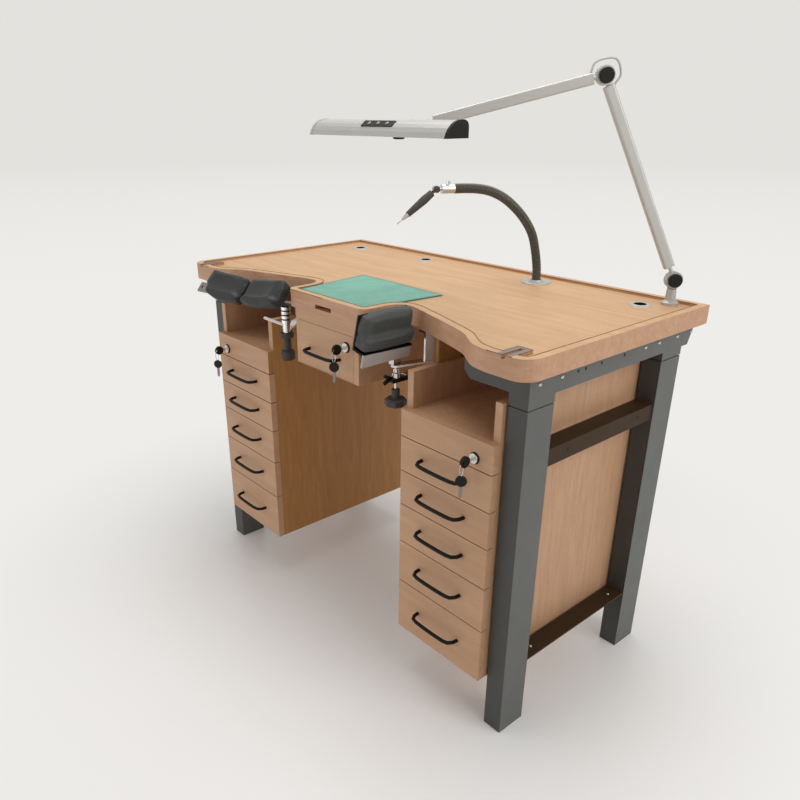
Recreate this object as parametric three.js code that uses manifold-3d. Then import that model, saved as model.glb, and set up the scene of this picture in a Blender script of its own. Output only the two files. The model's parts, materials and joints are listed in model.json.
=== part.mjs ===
// A jeweller's bench with drawer pedestals, a bar lamp, a flexible stand and two armrests.
// Millimetres, +X to the sitter's right, +Y to the back, +Z up. The group stands on z = 0.
import * as THREE from "three";
import { mergeVertices } from "three/addons/utils/BufferGeometryUtils.js";
import Module from "manifold-3d";

const wasm = await Module();
wasm.setup();

// Driving dimensions
const BENCH = { width: 1300, depth: 670, height: 960 };
const TOP = { thickness: 45, rim: 20, rimStep: 6, cornerRadius: 40 };
const TONGUE = { half: 156, front: 320, cornerRadius: 24, straight: 58 };
const PIN_SLOT = { width: 66, height: 11, depth: 32, drop: 26 };
const PLATE = { fromCentre: 590, width: 36, length: 66, groove: 9, grooveDepth: 9 };
const GROMMET = { radius: 27, hole: 15, lip: 2.5, sleeve: 17.5 };
const GROMMETS = { left: [-530, 233], middle: [-225, 248], right: [530, 233] };
const MAT = { thickness: 2.5, gap: 2, frontHalf: 133, backHalf: 168, backEdge: -52 };

const LEG = { outer: 620, width: 50, depth: 84, wall: 3, frontY: -284, rearY: 208, top: 838 };
const HEAD = { seam: 2.5, spigot: 60, floor: 6 };
const SIDE_RAIL = { height: 55, flange: 40, wall: 4, rearEnd: 334, chamfer: [16, 36] };
const BRACKET = { inner: 447, height: 47, flange: 40, chamfer: 17 };
const HANGER = { x: 303, width: 19, bottom: 843, frontY: -128, wall: 4 };
const CROSS = { frontY: 252, rearY: 290, bottom: 871 };
const MID_RAIL = { outer: 616, bottom: 690, top: 731, wall: 4, hole: 4 };
const LOW_RAIL = { outer: 619, top: 180, drop: 44, wall: 4 };

const FILLER = { thickness: 10, frontY: -206 };
const PEDESTAL = { inner: 284, outer: 565, front: -293, back: 246, bottom: 140, top: 754, board: 19 };
const FRONT = { thickness: 19, gap: 2.4, clearance: 0.3 };
const FRONT_LINES = [686, 596.5, 505.5, 401, 283.5, 140];
const RUNNER = { depth: 5.5, height: 10, clearance: 0.5 };
const DRAWER = { wall: 12, floor: 6, depth: 470, headroom: 16, lift: 12 };
const HANDLE = { length: 146, standoff: 27, bar: 4.6, bend: 16, rise: 5 };

const HOUSING = { half: 130, front: -313, back: -20, bottom: 765, board: 12 };
const CENTRE_FRONT = { left: -117, right: 109, thickness: 18, bottom: 768, top: 883.5 };
const CENTRE_HANDLE = { x: -8, z: 815, length: 138 };

const LOCK = { radius: 11.5, length: 6, bore: 5.2, plug: 5.1, sides: 24 };
const KEY = { shank: 18, bow: 13, thickness: 7, eye: 3.5 };
const LOCKS = { right: [515, 711], left: [-515, 711], centre: [83, 853] };

const LAMP = {
  base: [573, 290], flange: 20, flangeHeight: 8, post: 12.5, shoulderZ: 1013,
  elbow: [433, 125, 1447], tip: [172, -166, 1352],
  arm: [24, 19], knob: 16, knobLength: 9, hub: 20, hubLength: 18,
};
const LAMP_HEAD = { left: -126, right: 338, front: -250, depth: 62, bottom: 1329, height: 33, cap: 6 };
const CABLE = { radius: 2.4, bulge: 37 };

const HOSE = { base: [204, 250], heading: [-0.38, -0.925], radius: 12.5, root: 10.8, bore: 7, ribs: 96 };
const HOSE_ROUTE = [[0, 957], [0.5, 984], [4, 1010], [11, 1042], [23, 1080], [45, 1115], [75, 1147],
  [113, 1176], [153, 1194], [189, 1201], [227, 1203], [253, 1203]];
const STAND_PLATE = { radius: 40, height: 3, collar: 17, collarHeight: 8 };
const CLAMP = { length: 48, size: 22, stub: 5 };
const HANDPIECE = { length: 112, drop: 38, grip: 10.5, neck: 6, tip: 18, needle: 16 };

const LEFT_REST = { post: [-197, -300], postRadius: 10, postTop: 904, barEnd: [-540, -372], tilt: 46 };
const LEFT_BAR = { start: 16, width: 30, thickness: 6, boss: 22, eye: 5, eyeInset: 14 };
const LEVER = { radius: 4, reach: 104, z: 847, collars: [856, 868, 880, 892], collarHeight: 8 };
const LEFT_KNOB = { drop: 10, height: 76, disc: 20, stem: 11, flange: 19 };
const RIGHT_REST = { rod: [236, -287], rodRadius: 4, blockTop: 887, centre: [221, -321, 929], tilt: 104 };
const RIGHT_KNOB = { bottom: 740, disc: 27, thickness: 20, hub: 10.5, height: 42, bore: 8 };
const RIGHT_PLATE = { up: 46, down: 34, half: 72, thickness: 5, seat: 36, apron: 32 };
const HANG = { x: 262, y: -196, width: 50, thickness: 5, bottom: 838 };
const LEFT_PADS = { inner: [42, 168, 10], outer: [207, 140, -6], width: 84, height: 48, trough: 8 };
const PAD_STEM_RADIUS = 9;
const RIGHT_PAD = { length: 90, width: 164, height: 36, up: 11.5, trough: 6 };

// Solid helpers: closed geometry to a solid and back
function solidOf(geometry) {
  const bare = new THREE.BufferGeometry();
  const source = geometry.index ? geometry.toNonIndexed() : geometry;
  bare.setAttribute("position", source.getAttribute("position"));
  const merged = mergeVertices(bare, 1e-4);
  return new wasm.Manifold(new wasm.Mesh({
    numProp: 3,
    vertProperties: merged.attributes.position.array,
    triVerts: new Uint32Array(merged.index.array),
  }));
}

function geometryOf(solid) {
  const mesh = solid.getMesh();
  const geometry = new THREE.BufferGeometry();
  geometry.setAttribute("position", new THREE.BufferAttribute(mesh.vertProperties, 3));
  geometry.setIndex(new THREE.BufferAttribute(mesh.triVerts, 1));
  return geometry;
}

function join(...pieces) {
  return geometryOf(pieces.map(solidOf).reduce((all, next) => all.add(next)));
}

function cut(body, ...tools) {
  return geometryOf(tools.map(solidOf).reduce((left, tool) => left.subtract(tool), solidOf(body)));
}

function box(x0, x1, y0, y1, z0, z1) {
  const geometry = new THREE.BoxGeometry(x1 - x0, y1 - y0, z1 - z0);
  return geometry.translate((x0 + x1) / 2, (y0 + y1) / 2, (z0 + z1) / 2);
}

function rod(from, to, radius, sides = 16, endRadius = radius) {
  const start = new THREE.Vector3(...from);
  const axis = new THREE.Vector3(...to).sub(start);
  const geometry = new THREE.CylinderGeometry(endRadius, radius, axis.length(), sides);
  geometry.translate(0, axis.length() / 2, 0);
  const turn = new THREE.Quaternion().setFromUnitVectors(THREE.Object3D.DEFAULT_UP, axis.normalize());
  return geometry.applyQuaternion(turn).translate(start.x, start.y, start.z);
}

function turned(profile, sides = 24) {
  const points = profile.map(([radius, height]) => new THREE.Vector2(radius, height));
  return new THREE.LatheGeometry(points, sides).rotateX(Math.PI / 2);
}

function slab(outline, z0, z1) {
  const shape = new THREE.Shape(outline);
  return new THREE.ExtrudeGeometry(shape, { depth: z1 - z0, bevelEnabled: false }).translate(0, 0, z0);
}

function profileAlongX(outline, x0, x1) {
  const shape = new THREE.Shape(outline.map(([y, z]) => new THREE.Vector2(y, z)));
  const geometry = new THREE.ExtrudeGeometry(shape, { depth: x1 - x0, bevelEnabled: false });
  const axes = [new THREE.Vector3(0, 1, 0), new THREE.Vector3(0, 0, 1), new THREE.Vector3(1, 0, 0)];
  return geometry.applyMatrix4(new THREE.Matrix4().makeBasis(...axes)).translate(x0, 0, 0);
}

function tube(curve, radius, steps, sides = 8) {
  const section = new THREE.Shape();
  section.absarc(0, 0, radius, 0, Math.PI * 2);
  const options = { steps, extrudePath: curve, bevelEnabled: false, curveSegments: sides / 2 };
  return new THREE.ExtrudeGeometry(section, options);
}

function mirrored(geometry) {
  const flat = geometry.index ? geometry.toNonIndexed() : geometry.clone();
  const at = flat.getAttribute("position");
  const copy = new Float32Array(at.count * 3);
  for (let corner = 0; corner < at.count; corner += 1) {
    const swapped = corner % 3 === 0 ? corner : corner + (corner % 3 === 1 ? 1 : -1);
    copy.set([-at.getX(swapped), at.getY(swapped), at.getZ(swapped)], corner * 3);
  }
  return new THREE.BufferGeometry().setAttribute("position", new THREE.BufferAttribute(copy, 3));
}

// Materials, as colour, roughness and metalness
const FINISH = {
  beech: [0xd2a67c, 0.5, 0],
  steelPaint: [0x55575a, 0.45, 0.3],
  blackMetal: [0x191614, 0.4, 0.4],
  chrome: [0xd4d4d2, 0.18, 1],
  aluminium: [0xb9b8b4, 0.35, 0.7],
  greyMetal: [0x9d9590, 0.4, 0.5],
  blackPlastic: [0x1b1b19, 0.5, 0],
  leather: [0x3a3c3b, 0.6, 0],
  hose: [0x4e4a45, 0.6, 0.2],
  teal: [0x7fc3ab, 0.7, 0],
};

function piece(name, geometry, finish) {
  const [color, roughness, metalness] = FINISH[finish];
  const mesh = new THREE.Mesh(geometry, new THREE.MeshStandardMaterial({ color, roughness, metalness }));
  mesh.name = name;
  return mesh;
}

// Worktop
const topZ = BENCH.height;
const underside = topZ - TOP.thickness;
const fieldZ = topZ - TOP.rimStep;
const frontY = -BENCH.depth / 2;
const backY = BENCH.depth / 2;

function worktopOutline() {
  const half = BENCH.width / 2;
  const path = new THREE.Path();
  const { half: side, front, cornerRadius, straight } = TONGUE;
  path.moveTo(0, -front);
  path.lineTo(side - cornerRadius, -front);
  path.absarc(side - cornerRadius, -front + cornerRadius, cornerRadius, -Math.PI / 2, 0, false);
  path.lineTo(side + 1, -front + straight);
  path.splineThru([
    [side + 6, -228], [side + 27, -208], [side + 62, -210], [side + 118, -227], [side + 232, -263],
    [side + 284, -283], [side + 318, -307], [side + 349, -326], [side + 392, frontY],
  ].map(([x, y]) => new THREE.Vector2(x, y)));
  path.lineTo(half - TOP.cornerRadius, frontY);
  path.absarc(half - TOP.cornerRadius, frontY + TOP.cornerRadius, TOP.cornerRadius, -Math.PI / 2, 0, false);
  path.lineTo(half, backY);
  path.lineTo(0, backY);
  const right = path.getPoints(3);
  const left = right.slice(1, -1).reverse().map((point) => new THREE.Vector2(-point.x, point.y));
  return [...right, ...left].filter((point, i, all) => i === 0 || point.distanceTo(all[i - 1]) > 0.01);
}

function inset(outline, distance) {
  const count = outline.length;
  return outline.map((point, i) => {
    const before = point.clone().sub(outline[(i + count - 1) % count]).normalize();
    const after = outline[(i + 1) % count].clone().sub(point).normalize();
    const normal = new THREE.Vector2(-before.y - after.y, before.x + after.x).normalize();
    const stretch = normal.x * -after.y + normal.y * after.x;
    return point.clone().addScaledVector(normal, distance / stretch);
  });
}

function worktop() {
  const outline = worktopOutline();
  const recess = slab(inset(outline, TOP.rim), fieldZ, topZ + 1);
  const { fromCentre, width, length, groove, grooveDepth } = PLATE;
  const seats = [-1, 1].map((side) => {
    const x = side * fromCentre;
    return box(x - width / 2, x + width / 2, frontY + 1, frontY + length, fieldZ - 1, topZ);
  });
  const grooves = [-1, 1].map((side) => {
    const x = side * fromCentre;
    return box(x - groove / 2, x + groove / 2, frontY - 1, frontY + length - 8, topZ - grooveDepth, topZ + 1);
  });
  const slotTop = topZ - PIN_SLOT.drop + PIN_SLOT.height / 2;
  const slot = box(-PIN_SLOT.width / 2, PIN_SLOT.width / 2, -TONGUE.front - 1,
    -TONGUE.front + PIN_SLOT.depth, slotTop - PIN_SLOT.height, slotTop);
  const holes = Object.values(GROMMETS).map(([x, y]) =>
    rod([x, y, underside - 1], [x, y, topZ + 1], GROMMET.sleeve, 24));
  const dished = cut(slab(outline, underside, topZ), recess);
  return cut(join(dished, ...seats), ...grooves, slot, ...holes);
}

function grommet([x, y]) {
  const { radius, hole, lip, sleeve } = GROMMET;
  const ring = turned([
    [hole, -TOP.thickness + TOP.rimStep], [sleeve, -TOP.thickness + TOP.rimStep], [sleeve, 0],
    [radius, 0], [radius - 1, lip * 0.6], [radius - 4, lip], [hole, lip],
    [hole, -TOP.thickness + TOP.rimStep],
  ]);
  return ring.translate(x, y, fieldZ);
}

function skinMat() {
  const front = -TONGUE.front + TOP.rim + MAT.gap;
  const shape = new THREE.Shape();
  shape.moveTo(-MAT.frontHalf, front + 8);
  shape.quadraticCurveTo(-MAT.frontHalf, front, -MAT.frontHalf + 8, front);
  shape.lineTo(MAT.frontHalf - 8, front);
  shape.quadraticCurveTo(MAT.frontHalf, front, MAT.frontHalf, front + 8);
  shape.lineTo(MAT.frontHalf + 2, front + 52);
  shape.quadraticCurveTo(MAT.frontHalf + 6, front + 92, MAT.backHalf - 10, front + 122);
  shape.lineTo(MAT.backHalf, MAT.backEdge);
  shape.lineTo(-MAT.backHalf, MAT.backEdge);
  shape.lineTo(-MAT.backHalf + 10, front + 122);
  shape.quadraticCurveTo(-MAT.frontHalf - 6, front + 92, -MAT.frontHalf - 2, front + 52);
  return slab(shape.getPoints(4), fieldZ, fieldZ + MAT.thickness);
}

// Steel frame, right side; the left side is its mirror image
const legInner = LEG.outer - LEG.width;

function hollowPost(y0, z0, z1, cavity0, cavity1) {
  const { outer, depth, wall } = LEG;
  const post = box(legInner, outer, y0, y0 + depth, z0, z1);
  return cut(post, box(legInner + wall, outer - wall, y0 + wall, y0 + depth - wall, cavity0, cavity1));
}

function legHead(y0) {
  const { wall, depth, outer, top } = LEG;
  const from = top + HEAD.seam;
  const shell = hollowPost(y0, from, underside, from + HEAD.floor, underside + 1);
  const spigot = box(legInner + wall, outer - wall, y0 + wall, y0 + depth - wall,
    top - HEAD.spigot, from + 1);
  return join(shell, spigot);
}

function topFrame() {
  const { height, flange, wall, rearEnd, chamfer } = SIDE_RAIL;
  const railBottom = underside - height;
  const front = LEG.frontY;
  const channel = [
    [front, railBottom], [rearEnd - chamfer[0], railBottom], [rearEnd, railBottom + chamfer[1]],
    [rearEnd, underside], [front, underside],
  ];
  const web = profileAlongX(channel, LEG.outer - wall, LEG.outer);
  const upper = box(LEG.outer - flange, LEG.outer, front, rearEnd, underside - wall, underside);
  const lower = box(LEG.outer - flange, LEG.outer, front, rearEnd - chamfer[0], railBottom, railBottom + wall);
  const stubBottom = underside - BRACKET.height;
  const stubShape = new THREE.Shape([
    [BRACKET.inner, underside], [BRACKET.inner, stubBottom + BRACKET.chamfer],
    [BRACKET.inner + BRACKET.chamfer, stubBottom], [legInner + 1, stubBottom], [legInner + 1, underside],
  ].map(([x, z]) => new THREE.Vector2(x, -z)));
  const stub = new THREE.ExtrudeGeometry(stubShape, { depth: wall, bevelEnabled: false })
    .rotateX(-Math.PI / 2).translate(0, front, 0);
  const stubFlange = box(BRACKET.inner, legInner + 1, front, front + BRACKET.flange,
    underside - wall, underside);
  const cross = cut(
    box(HANGER.x, legInner + 1, CROSS.frontY, CROSS.rearY, CROSS.bottom, underside),
    box(HANGER.x - 1, legInner + 2, CROSS.frontY + wall, CROSS.rearY + 1,
      CROSS.bottom + wall, underside - wall),
  );
  const hangerRear = CROSS.rearY;
  const hanger = cut(
    box(HANGER.x - HANGER.width, HANGER.x, HANGER.frontY, hangerRear, HANGER.bottom, underside),
    box(HANGER.x - HANGER.width - 1, HANGER.x - HANGER.wall, HANGER.frontY - 1, hangerRear + 1,
      HANGER.bottom + HANGER.wall, underside - HANGER.wall),
  );
  return join(web, upper, lower, legHead(LEG.frontY), legHead(LEG.rearY), stub, stubFlange, cross, hanger);
}

function legFrame() {
  const start = LEG.frontY + LEG.depth;
  const { outer, bottom, top, wall, hole } = MID_RAIL;
  const legs = [LEG.frontY, LEG.rearY].map((y) => hollowPost(y, 0, LEG.top, LEG.wall, LEG.top + 1));
  const midWeb = box(outer - wall, outer, start - 1, LEG.rearY + 1, bottom, top);
  const midFlange = box(legInner, outer, start - 1, LEG.rearY + 1, top - wall, top);
  const holes = [start + 74, LEG.rearY - 60].map((y) =>
    rod([outer - wall - 1, y, (bottom + top) / 2], [outer + 1, y, (bottom + top) / 2], hole, 10));
  const low = LOW_RAIL;
  const lowFlange = box(legInner, low.outer, start - 1, LEG.rearY + 1, low.top - low.wall, low.top);
  const lowWeb = box(legInner, legInner + low.wall, start - 1, LEG.rearY + 1, low.top - low.drop, low.top);
  return join(...legs, cut(join(midWeb, midFlange), ...holes), lowFlange, lowWeb);
}

// Drawer pedestals, right side; the left side is its mirror image
const frontFace = PEDESTAL.front - FRONT.thickness;

function drawerSpans() {
  return FRONT_LINES.slice(0, -1).map((line, i) => ({
    top: line - FRONT.gap / 2,
    bottom: i === FRONT_LINES.length - 2 ? FRONT_LINES[i + 1] : FRONT_LINES[i + 1] + FRONT.gap / 2,
  }));
}

function runnerHeight({ top, bottom }) {
  return (top + bottom) / 2;
}

function carcass() {
  const { inner, outer, front, back, bottom, top, board } = PEDESTAL;
  const sides = [
    box(inner, inner + board, front, back, bottom, HANGER.bottom),
    box(outer - board, outer, front, back, bottom, underside),
  ];
  const boards = [
    box(inner + 1, outer - 1, front, back, bottom, bottom + 16),
    box(inner + 1, outer - 1, front, back, top - 16, top),
    box(inner + 1, outer - 1, back - 8, back, bottom, top),
  ];
  const filler = box(inner, inner + FILLER.thickness, FILLER.frontY, HANGER.frontY - 0.3,
    HANGER.bottom - 1, underside);
  const lockRail = box(inner, outer, frontFace, front + 1, FRONT_LINES[0] + FRONT.gap / 2, top);
  const runners = drawerSpans().flatMap((span) => {
    const z = runnerHeight(span);
    const ends = [front + 2, front + DRAWER.depth];
    const half = RUNNER.height / 2;
    return [
      box(inner + board - 1, inner + board + RUNNER.depth, ...ends, z - half, z + half),
      box(outer - board - RUNNER.depth, outer - board + 1, ...ends, z - half, z + half),
    ];
  });
  const notch = box(outer - board - 1, outer + 1, front - 1, LEG.frontY + BRACKET.flange + 0.3,
    HANGER.bottom, underside + 1);
  return cut(join(...sides, ...boards, filler, lockRail, ...runners), notch);
}

function drawer(span) {
  const { inner, outer, front, board } = PEDESTAL;
  const face = box(inner, outer, frontFace, front - FRONT.clearance, span.bottom, span.top);
  const x0 = inner + board + RUNNER.clearance;
  const x1 = outer - board - RUNNER.clearance;
  const z0 = Math.max(span.bottom, PEDESTAL.bottom + 16) + DRAWER.lift;
  const z1 = span.top - DRAWER.headroom;
  const rear = front + DRAWER.depth;
  const shell = cut(
    box(x0, x1, front - 1, rear, z0, z1),
    box(x0 + DRAWER.wall, x1 - DRAWER.wall, front - 0.5, rear - DRAWER.wall, z0 + DRAWER.floor, z1 + 1),
  );
  const groove = RUNNER.height / 2 + RUNNER.clearance;
  const z = runnerHeight(span);
  const depth = RUNNER.depth + RUNNER.clearance;
  return cut(
    join(face, shell),
    box(x0 - 1, x0 + depth, front, rear + 1, z - groove, z + groove),
    box(x1 - depth, x1 + 1, front, rear + 1, z - groove, z + groove),
  );
}

function handle(x, y, z, length) {
  const reach = y - HANDLE.standoff;
  const half = length / 2 - HANDLE.bar;
  const { bend } = HANDLE;
  const path = new THREE.CurvePath();
  const corner = (a, b, c) => new THREE.QuadraticBezierCurve3(
    new THREE.Vector3(...a), new THREE.Vector3(...b), new THREE.Vector3(...c));
  path.add(corner([x - half, y, z], [x - half, reach + 2, z], [x - half + bend, reach, z]));
  path.add(new THREE.LineCurve3(new THREE.Vector3(x - half + bend, reach, z),
    new THREE.Vector3(x + half - bend, reach, z)));
  path.add(corner([x + half - bend, reach, z], [x + half, reach + 2, z], [x + half, y, z]));
  const points = [0, 0.35, 0.7, 1].map((t) => path.curves[0].getPoint(t));
  const rest = [0, 0.3, 0.65, 1].map((t) => path.curves[2].getPoint(t));
  const bow = tube(new THREE.CatmullRomCurve3([...points, ...rest], false, "centripetal"), HANDLE.bar, 13);
  const behind = box(x - length, x + length, y, y + 20, z - 20, z + 20);
  return cut(bow, behind);
}

// Centre drawer under the tongue
function centreHousing() {
  const { half, front, back, bottom, board } = HOUSING;
  const { left, right, bottom: low, top } = CENTRE_FRONT;
  const shell = box(-half, half, front, back, bottom, underside);
  const mouth = box(left - 0.6, right + 0.6, front - 1, back - board, low - 0.6, top + 0.6);
  return cut(shell, mouth);
}

function centreDrawer() {
  const { front, back, board } = HOUSING;
  const { left, right, thickness, bottom, top } = CENTRE_FRONT;
  const face = box(left, right, front, front + thickness, bottom, top);
  const rear = back - board - 20;
  const shell = cut(
    box(left + 1, right - 1, front + thickness - 1, rear, bottom, top - 14),
    box(left + 11, right - 11, front + thickness, rear - 10, bottom + 6, top),
  );
  return join(face, shell);
}

// Locks and keys on a front at the given depth
function lockBody([x, z], y) {
  const ring = rod([x, y, z], [x, y - LOCK.length, z], LOCK.radius, LOCK.sides);
  return cut(ring, rod([x, y - 1, z], [x, y - LOCK.length - 1, z], LOCK.bore, LOCK.sides));
}

function key([x, z], y) {
  const start = y - 1.5;
  const collar = y - LOCK.length - 0.5;
  const bowY = collar - KEY.shank + 2;
  const plug = rod([x, start, z], [x, y - LOCK.length, z], LOCK.plug, LOCK.sides);
  const blade = box(x - 1.2, x + 1.2, bowY, collar + 1, z - 4, z + 4);
  const bow = rod([x - KEY.thickness / 2, bowY - KEY.bow + 5, z], [x + KEY.thickness / 2, bowY - KEY.bow + 5, z],
    KEY.bow, 18);
  const eyeY = bowY - KEY.bow * 1.3;
  const eye = rod([x - KEY.thickness, eyeY, z], [x + KEY.thickness, eyeY, z], KEY.eye, 10);
  return cut(join(plug, blade, bow), eye);
}

// Lamp: the arms lie in one upright plane through the post
const lampBase = new THREE.Vector3(...LAMP.base, fieldZ);
const shoulder = new THREE.Vector3(...LAMP.base, LAMP.shoulderZ);
const elbow = new THREE.Vector3(...LAMP.elbow);
const lampTip = new THREE.Vector3(...LAMP.tip);
const pivotAxis = new THREE.Vector3(elbow.x - shoulder.x, elbow.y - shoulder.y, 0)
  .cross(THREE.Object3D.DEFAULT_UP.clone().set(0, 0, 1)).normalize().negate();

function along(point, direction, distance) {
  return point.clone().addScaledVector(direction, distance);
}

function armBar(from, to, startGap, endGap) {
  const direction = to.clone().sub(from).normalize();
  const length = from.distanceTo(to) - startGap - endGap;
  const [width, depth] = LAMP.arm;
  const section = new THREE.Shape();
  const radius = 5;
  section.moveTo(-width / 2 + radius, -depth / 2);
  section.lineTo(width / 2 - radius, -depth / 2);
  section.quadraticCurveTo(width / 2, -depth / 2, width / 2, -depth / 2 + radius);
  section.lineTo(width / 2, depth / 2 - radius);
  section.quadraticCurveTo(width / 2, depth / 2, width / 2 - radius, depth / 2);
  section.lineTo(-width / 2 + radius, depth / 2);
  section.quadraticCurveTo(-width / 2, depth / 2, -width / 2, depth / 2 - radius);
  section.lineTo(-width / 2, -depth / 2 + radius);
  section.quadraticCurveTo(-width / 2, -depth / 2, -width / 2 + radius, -depth / 2);
  const bar = new THREE.ExtrudeGeometry(section, { depth: length, bevelEnabled: false, curveSegments: 3 });
  const sideways = pivotAxis.clone().cross(direction).negate();
  const axes = new THREE.Matrix4().makeBasis(sideways, pivotAxis, direction);
  if (axes.determinant() < 0) axes.makeBasis(sideways.negate(), pivotAxis, direction);
  return bar.applyMatrix4(axes.setPosition(along(from, direction, startGap)));
}

function hubDisc(centre, near, far, radius = LAMP.hub, sides = 20) {
  return rod(along(centre, pivotAxis, near).toArray(), along(centre, pivotAxis, far).toArray(), radius, sides);
}

function lampFoot() {
  const { flange, flangeHeight, post, shoulderZ } = LAMP;
  const rise = shoulderZ - fieldZ;
  const foot = turned([[0, 0], [flange, 0], [flange, flangeHeight - 2], [flange - 3, flangeHeight],
    [post, flangeHeight + 3], [post - 2, rise - 14], [post - 5, rise - 10], [0, rise - 10]])
    .translate(lampBase.x, lampBase.y, fieldZ);
  const ear = hubDisc(shoulder, -LAMP.hubLength / 2, -0.3);
  return cut(join(foot, ear), hubDisc(shoulder, -0.3, LAMP.hubLength * 2, LAMP.hub + 1.5));
}

function lowerArm() {
  const bar = armBar(shoulder, elbow, 34, 22);
  const root = rod(along(shoulder, pivotAxis, 4.5).toArray(),
    along(along(shoulder, elbow.clone().sub(shoulder).normalize(), 36), pivotAxis, 4.5).toArray(), 4.2, 10);
  const top = rod(along(along(elbow, shoulder.clone().sub(elbow).normalize(), 24), pivotAxis, -4.5).toArray(),
    along(elbow, pivotAxis, -4.5).toArray(), 4.2, 10);
  const low = hubDisc(shoulder, 0.3, LAMP.hubLength / 2);
  const high = hubDisc(elbow, -LAMP.hubLength / 2, -0.3);
  return cut(join(bar, low, high, root, top), hubDisc(elbow, -0.3, LAMP.hubLength, LAMP.hub + 1.5),
    hubDisc(shoulder, -LAMP.hubLength, 0.3, LAMP.hub + 1.5));
}

function upperArm() {
  const bar = armBar(elbow, lampTip, 26, 30);
  const direction = lampTip.clone().sub(elbow).normalize();
  const root = rod(along(elbow, pivotAxis, 4.5).toArray(),
    along(along(elbow, direction, 28), pivotAxis, 4.5).toArray(), 4.2, 10);
  const hub = hubDisc(elbow, 0.3, LAMP.hubLength / 2);
  const barrel = rod([lampTip.x - 9, lampTip.y, lampTip.z], [lampTip.x + 9, lampTip.y, lampTip.z], 9, 18);
  const knuckle = join(barrel, rod(lampTip.toArray(), along(lampTip, direction, -32).toArray(), 5.5, 12));
  return cut(join(bar, root, hub, knuckle), hubDisc(elbow, -LAMP.hubLength, 0.3, LAMP.hub + 1.5));
}

function lampKnob(centre) {
  const { hubLength, knob, knobLength } = LAMP;
  return hubDisc(centre, hubLength / 2 + 0.3, hubLength / 2 + knobLength, knob, 24);
}

function lampHead() {
  const { left, right, front, depth, bottom, height, cap } = LAMP_HEAD;
  const rear = front + depth;
  const section = (grow) => {
    const shape = new THREE.Shape();
    shape.moveTo(front - grow, bottom - grow);
    shape.lineTo(rear + grow, bottom - grow);
    shape.lineTo(rear + grow, bottom + height * 0.55);
    shape.quadraticCurveTo(rear + grow, bottom + height + grow, rear - 16, bottom + height + grow);
    shape.quadraticCurveTo(front + 12 - grow, bottom + height + grow, front - grow, bottom - grow);
    return shape.getPoints(6).map((point) => [point.x, point.y]);
  };
  const body = profileAlongX(section(0), left + cap, right - cap);
  const caps = [[left, left + cap + 1], [right - cap - 1, right]]
    .map(([a, b]) => profileAlongX(section(1.2), a, b));
  const ears = [[-17, -9.4], [9.4, 17]].map(([a, b]) =>
    box(lampTip.x + a, lampTip.x + b, rear - 3, lampTip.y + 1, lampTip.z - 8, lampTip.z + 8));
  return join(body, ...caps, ...ears);
}

function cableLoop() {
  const lower = along(elbow, shoulder.clone().sub(elbow).normalize(), 26);
  const upper = along(elbow, lampTip.clone().sub(elbow).normalize(), 30);
  const outward = elbow.clone().multiplyScalar(2).sub(lower).sub(upper).normalize();
  const beside = (point, distance) => {
    const way = point.clone().sub(elbow).normalize();
    return along(point, outward.clone().addScaledVector(way, -outward.dot(way)).normalize(), distance);
  };
  const clear = LAMP.arm[0] / 2 + CABLE.radius + 0.5;
  const route = [beside(lower, clear), beside(lower.clone().lerp(elbow, 0.55), clear + 16),
    along(elbow, outward, CABLE.bulge), beside(upper.clone().lerp(elbow, 0.55), clear + 16),
    beside(upper, clear)];
  return tube(new THREE.CatmullRomCurve3(route), CABLE.radius, 20);
}

// Flexible stand: a ribbed hose along a hand-chosen route in an upright plane
const heading = new THREE.Vector3(...HOSE.heading, 0).normalize();
const hoseRoute = new THREE.CatmullRomCurve3(HOSE_ROUTE.map(([reach, height]) =>
  along(new THREE.Vector3(...HOSE.base, height), heading, reach)), false, "centripetal");

function ribbedHose() {
  const sides = 8;
  const across = new THREE.Vector3(0, 0, 1).cross(heading).normalize();
  const ringsOut = HOSE.ribs * 2 + 1;
  const ringsIn = Math.round(HOSE.ribs / 5) + 1;
  const vertices = [];
  const triangles = [];
  const addRing = (t, radius) => {
    const centre = hoseRoute.getPointAt(t);
    const normal = across.clone().cross(hoseRoute.getTangentAt(t)).normalize();
    for (let side = 0; side < sides; side += 1) {
      const angle = (side / sides) * Math.PI * 2;
      const spoke = along(along(centre, across, Math.cos(angle) * radius), normal, Math.sin(angle) * radius);
      vertices.push(spoke.x, spoke.y, spoke.z);
    }
  };
  for (let ring = 0; ring < ringsOut; ring += 1) {
    addRing(ring / (ringsOut - 1), ring % 2 === 0 ? HOSE.root : HOSE.radius);
  }
  for (let ring = ringsIn - 1; ring >= 0; ring -= 1) addRing(ring / (ringsIn - 1), HOSE.bore);
  const total = ringsOut + ringsIn;
  for (let ring = 0; ring < total; ring += 1) {
    const next = (ring + 1) % total;
    for (let side = 0; side < sides; side += 1) {
      const turn = (side + 1) % sides;
      const [a, b] = [ring * sides + side, ring * sides + turn];
      const [c, d] = [next * sides + side, next * sides + turn];
      triangles.push(a, d, b, a, c, d);
    }
  }
  const hose = new THREE.BufferGeometry();
  hose.setAttribute("position", new THREE.Float32BufferAttribute(vertices, 3));
  hose.setIndex(triangles);
  return hose;
}

function standPlate() {
  const { radius, height, collar, collarHeight } = STAND_PLATE;
  const bore = HOSE.radius + 1;
  return turned([[0, 0], [radius, 0], [radius, height - 1], [radius - 1.5, height], [collar + 2, height],
    [collar, collarHeight], [bore, collarHeight], [bore, HOSE_ROUTE[0][1] - fieldZ - 0.6],
    [0, HOSE_ROUTE[0][1] - fieldZ - 0.6]]).translate(...HOSE.base, fieldZ);
}

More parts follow.
